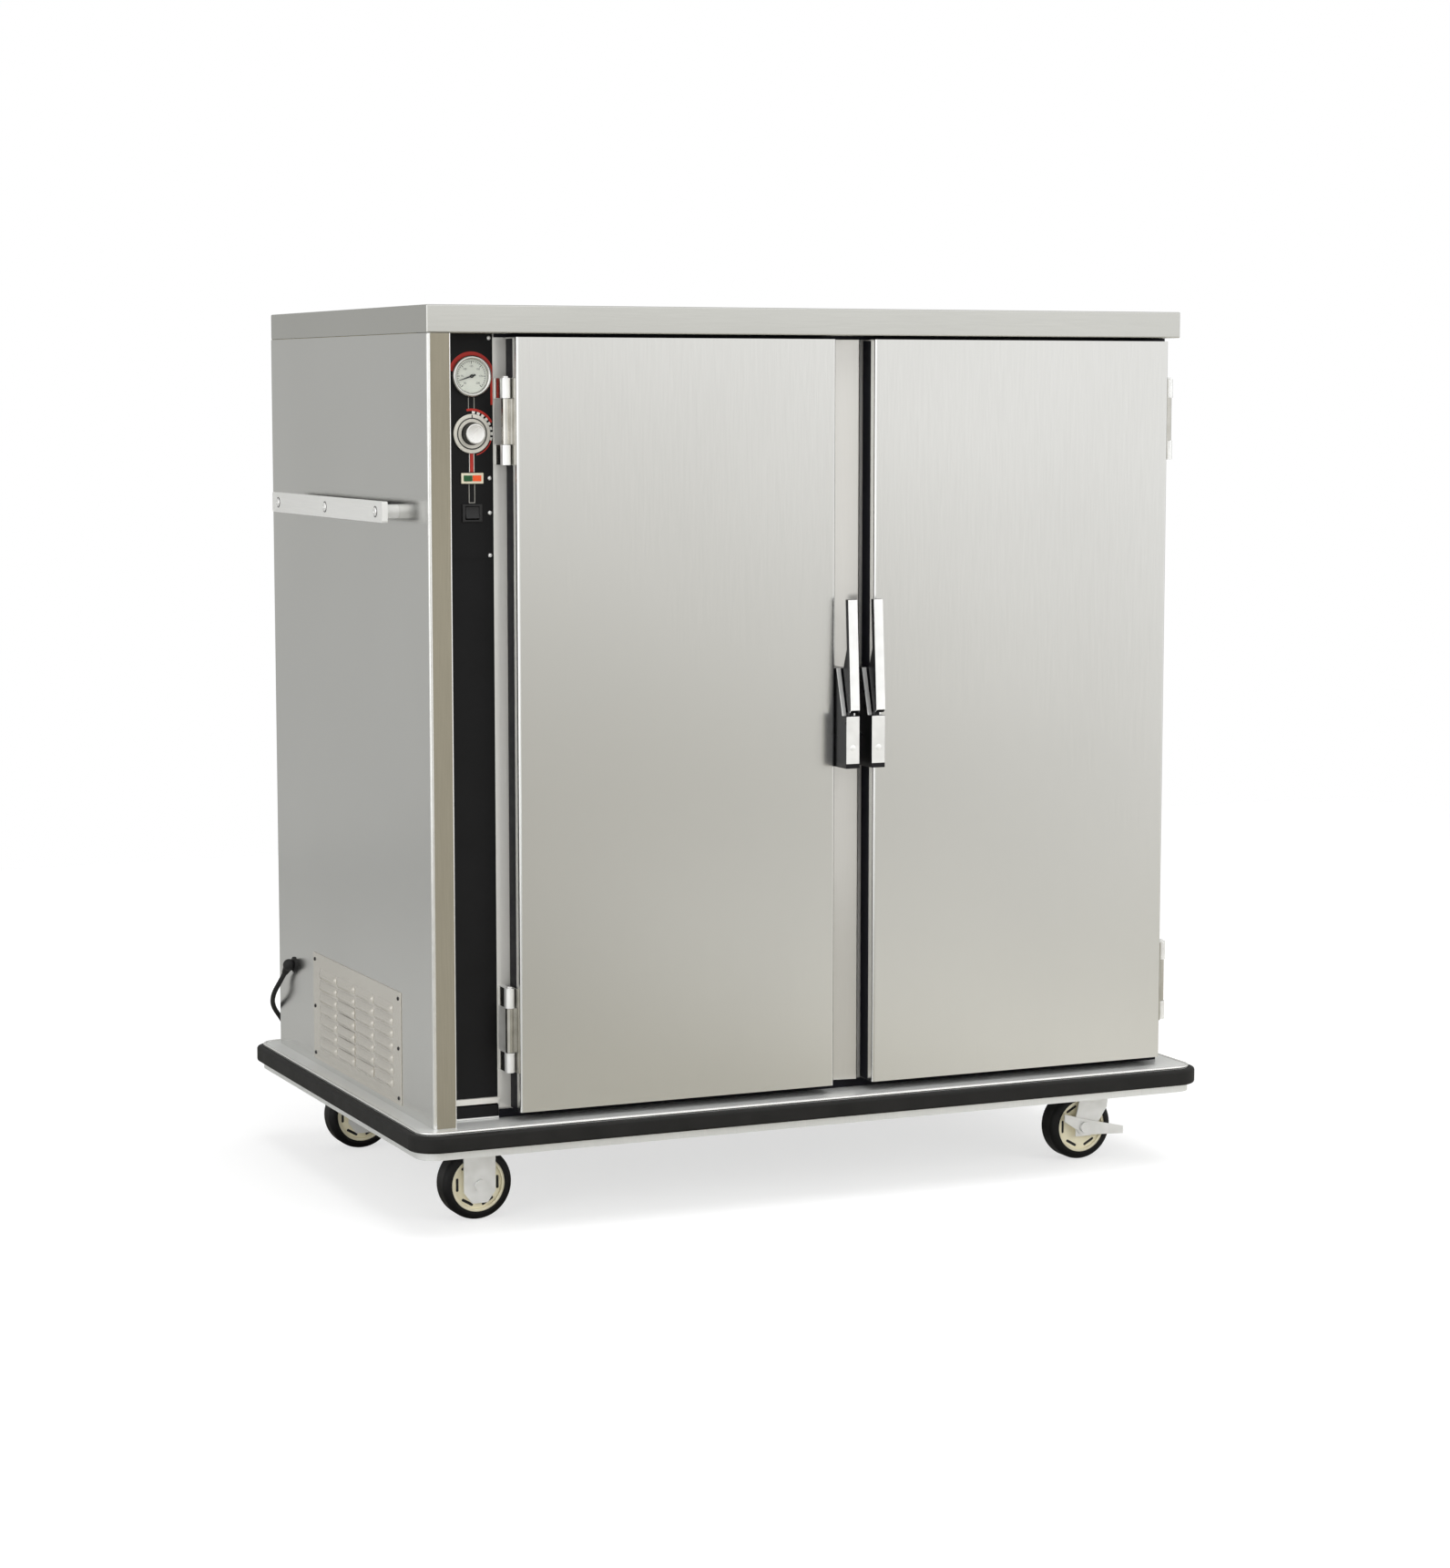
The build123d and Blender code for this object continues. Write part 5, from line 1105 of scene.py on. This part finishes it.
class CABINET_OT_plate_print(bpy.types.Operator):
    """Prints the arcs, scale marks and link lines on the instrument plate"""

    bl_idname = "cabinet.plate_print"
    bl_label = "Plate print"

    def execute(self, context):
        at = context.scene.cabinet_instruments
        inks = context.scene.cabinet_print
        middle, y = at.middle, at.plate
        knob = (middle, at.knob)
        # From the lights up to the knob, and from the switch up to the lights
        link = (at.lights + 10.5, at.knob - 33.6)
        line_foot = at.switch + 18.0
        red, pale, grey = bmesh.new(), bmesh.new(), bmesh.new()

        add_arc(red, (middle, at.thermometer), (35.0, 41.2), (-76, 68), y, 60)
        add_strip(red, middle + 36.5, 1.9, (at.thermometer - 48, at.thermometer + 15.4), y, 0.1)
        add_arc(red, knob, (38.4, 42.4), (-12, 62), y)
        add_arc(red, knob, (35.6, 37.6), (104, 166), y)
        add_strip(red, middle, 3.0, link, y, 0.1)
        for n in range(8):
            turn = 6 + 14 * n
            add_arc(pale, knob, (33.6, 38.0), (turn - 4.2, turn + 4.2), y, 4, 0.12)
        for x in (middle - 4.0, middle + 4.0):
            add_strip(pale, x, 0.5, link, y)
        for x in (middle - 5.0, middle + 5.0):
            add_strip(grey, x, 0.7, (at.knob + 41.8, at.thermometer - 36.0), y)
            add_strip(grey, x, 0.7, (line_foot, at.lights - 10.0), y)
        add_strip(grey, middle, 5.7, (line_foot - 1.4, line_foot), y)
        for name, shape, dark, light in (
            ("red", red, "#B2241A", inks.red),
            ("pale", pale, "#E9E6DE", inks.pale),
            ("grey", grey, "#8C8A83", inks.grey),
        ):
            ink = baked_enamel(f"{name}_screen_ink", dark, light, 0.5)
            new_piece(f"plate_print_{name}", shape, ink)
        return {"FINISHED"}


class CABINET_PT_pieces(bpy.types.Panel):
    """Shows the cabinet's settings and the buttons of its operators"""

    bl_idname = "CABINET_PT_pieces"
    bl_label = "Holding cabinet"
    bl_space_type = "VIEW_3D"
    bl_region_type = "UI"
    bl_category = "Cabinet"

    def draw(self, context):
        for group in SETTINGS:
            box = self.layout.box()
            settings = getattr(context.scene, group)
            for name in settings.bl_rna.properties.keys():
                if name not in ("rna_type", "name"):
                    box.prop(settings, name)
        for operator in OPERATORS:
            self.layout.operator(operator.bl_idname)


SETTINGS = {
    "cabinet_stage": StageSettings,
    "cabinet_cord": CordSettings,
    "cabinet_print": PrintSettings,
    "cabinet_instruments": InstrumentSettings,
    "cabinet_louvres": LouvreSettings,
    "cabinet_latches": LatchSettings,
}
OPERATORS = (
    CABINET_OT_stage,
    CABINET_OT_cord,
    CABINET_OT_sheet_metal,
    CABINET_OT_trim,
    CABINET_OT_louvres,
    CABINET_OT_hardware,
    CABINET_OT_screws,
    CABINET_OT_instruments,
    CABINET_OT_plate_print,
)
CLASSES = (*SETTINGS.values(), *OPERATORS, CABINET_PT_pieces)


def register():
    """Registers the classes and hangs the settings on the scene."""
    for item in CLASSES:
        bpy.utils.register_class(item)
    for name, group in SETTINGS.items():
        setattr(bpy.types.Scene, name, PointerProperty(type=group))


def unregister():
    """Takes the settings and the classes away again."""
    for name in SETTINGS:
        delattr(bpy.types.Scene, name)
    for item in reversed(CLASSES):
        bpy.utils.unregister_class(item)


def main():
    """Registers the add-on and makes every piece."""
    register()
    for operator in OPERATORS:
        group, name = operator.bl_idname.split(".")
        getattr(getattr(bpy.ops, group), name)()


if __name__ == "__main__":
    main()
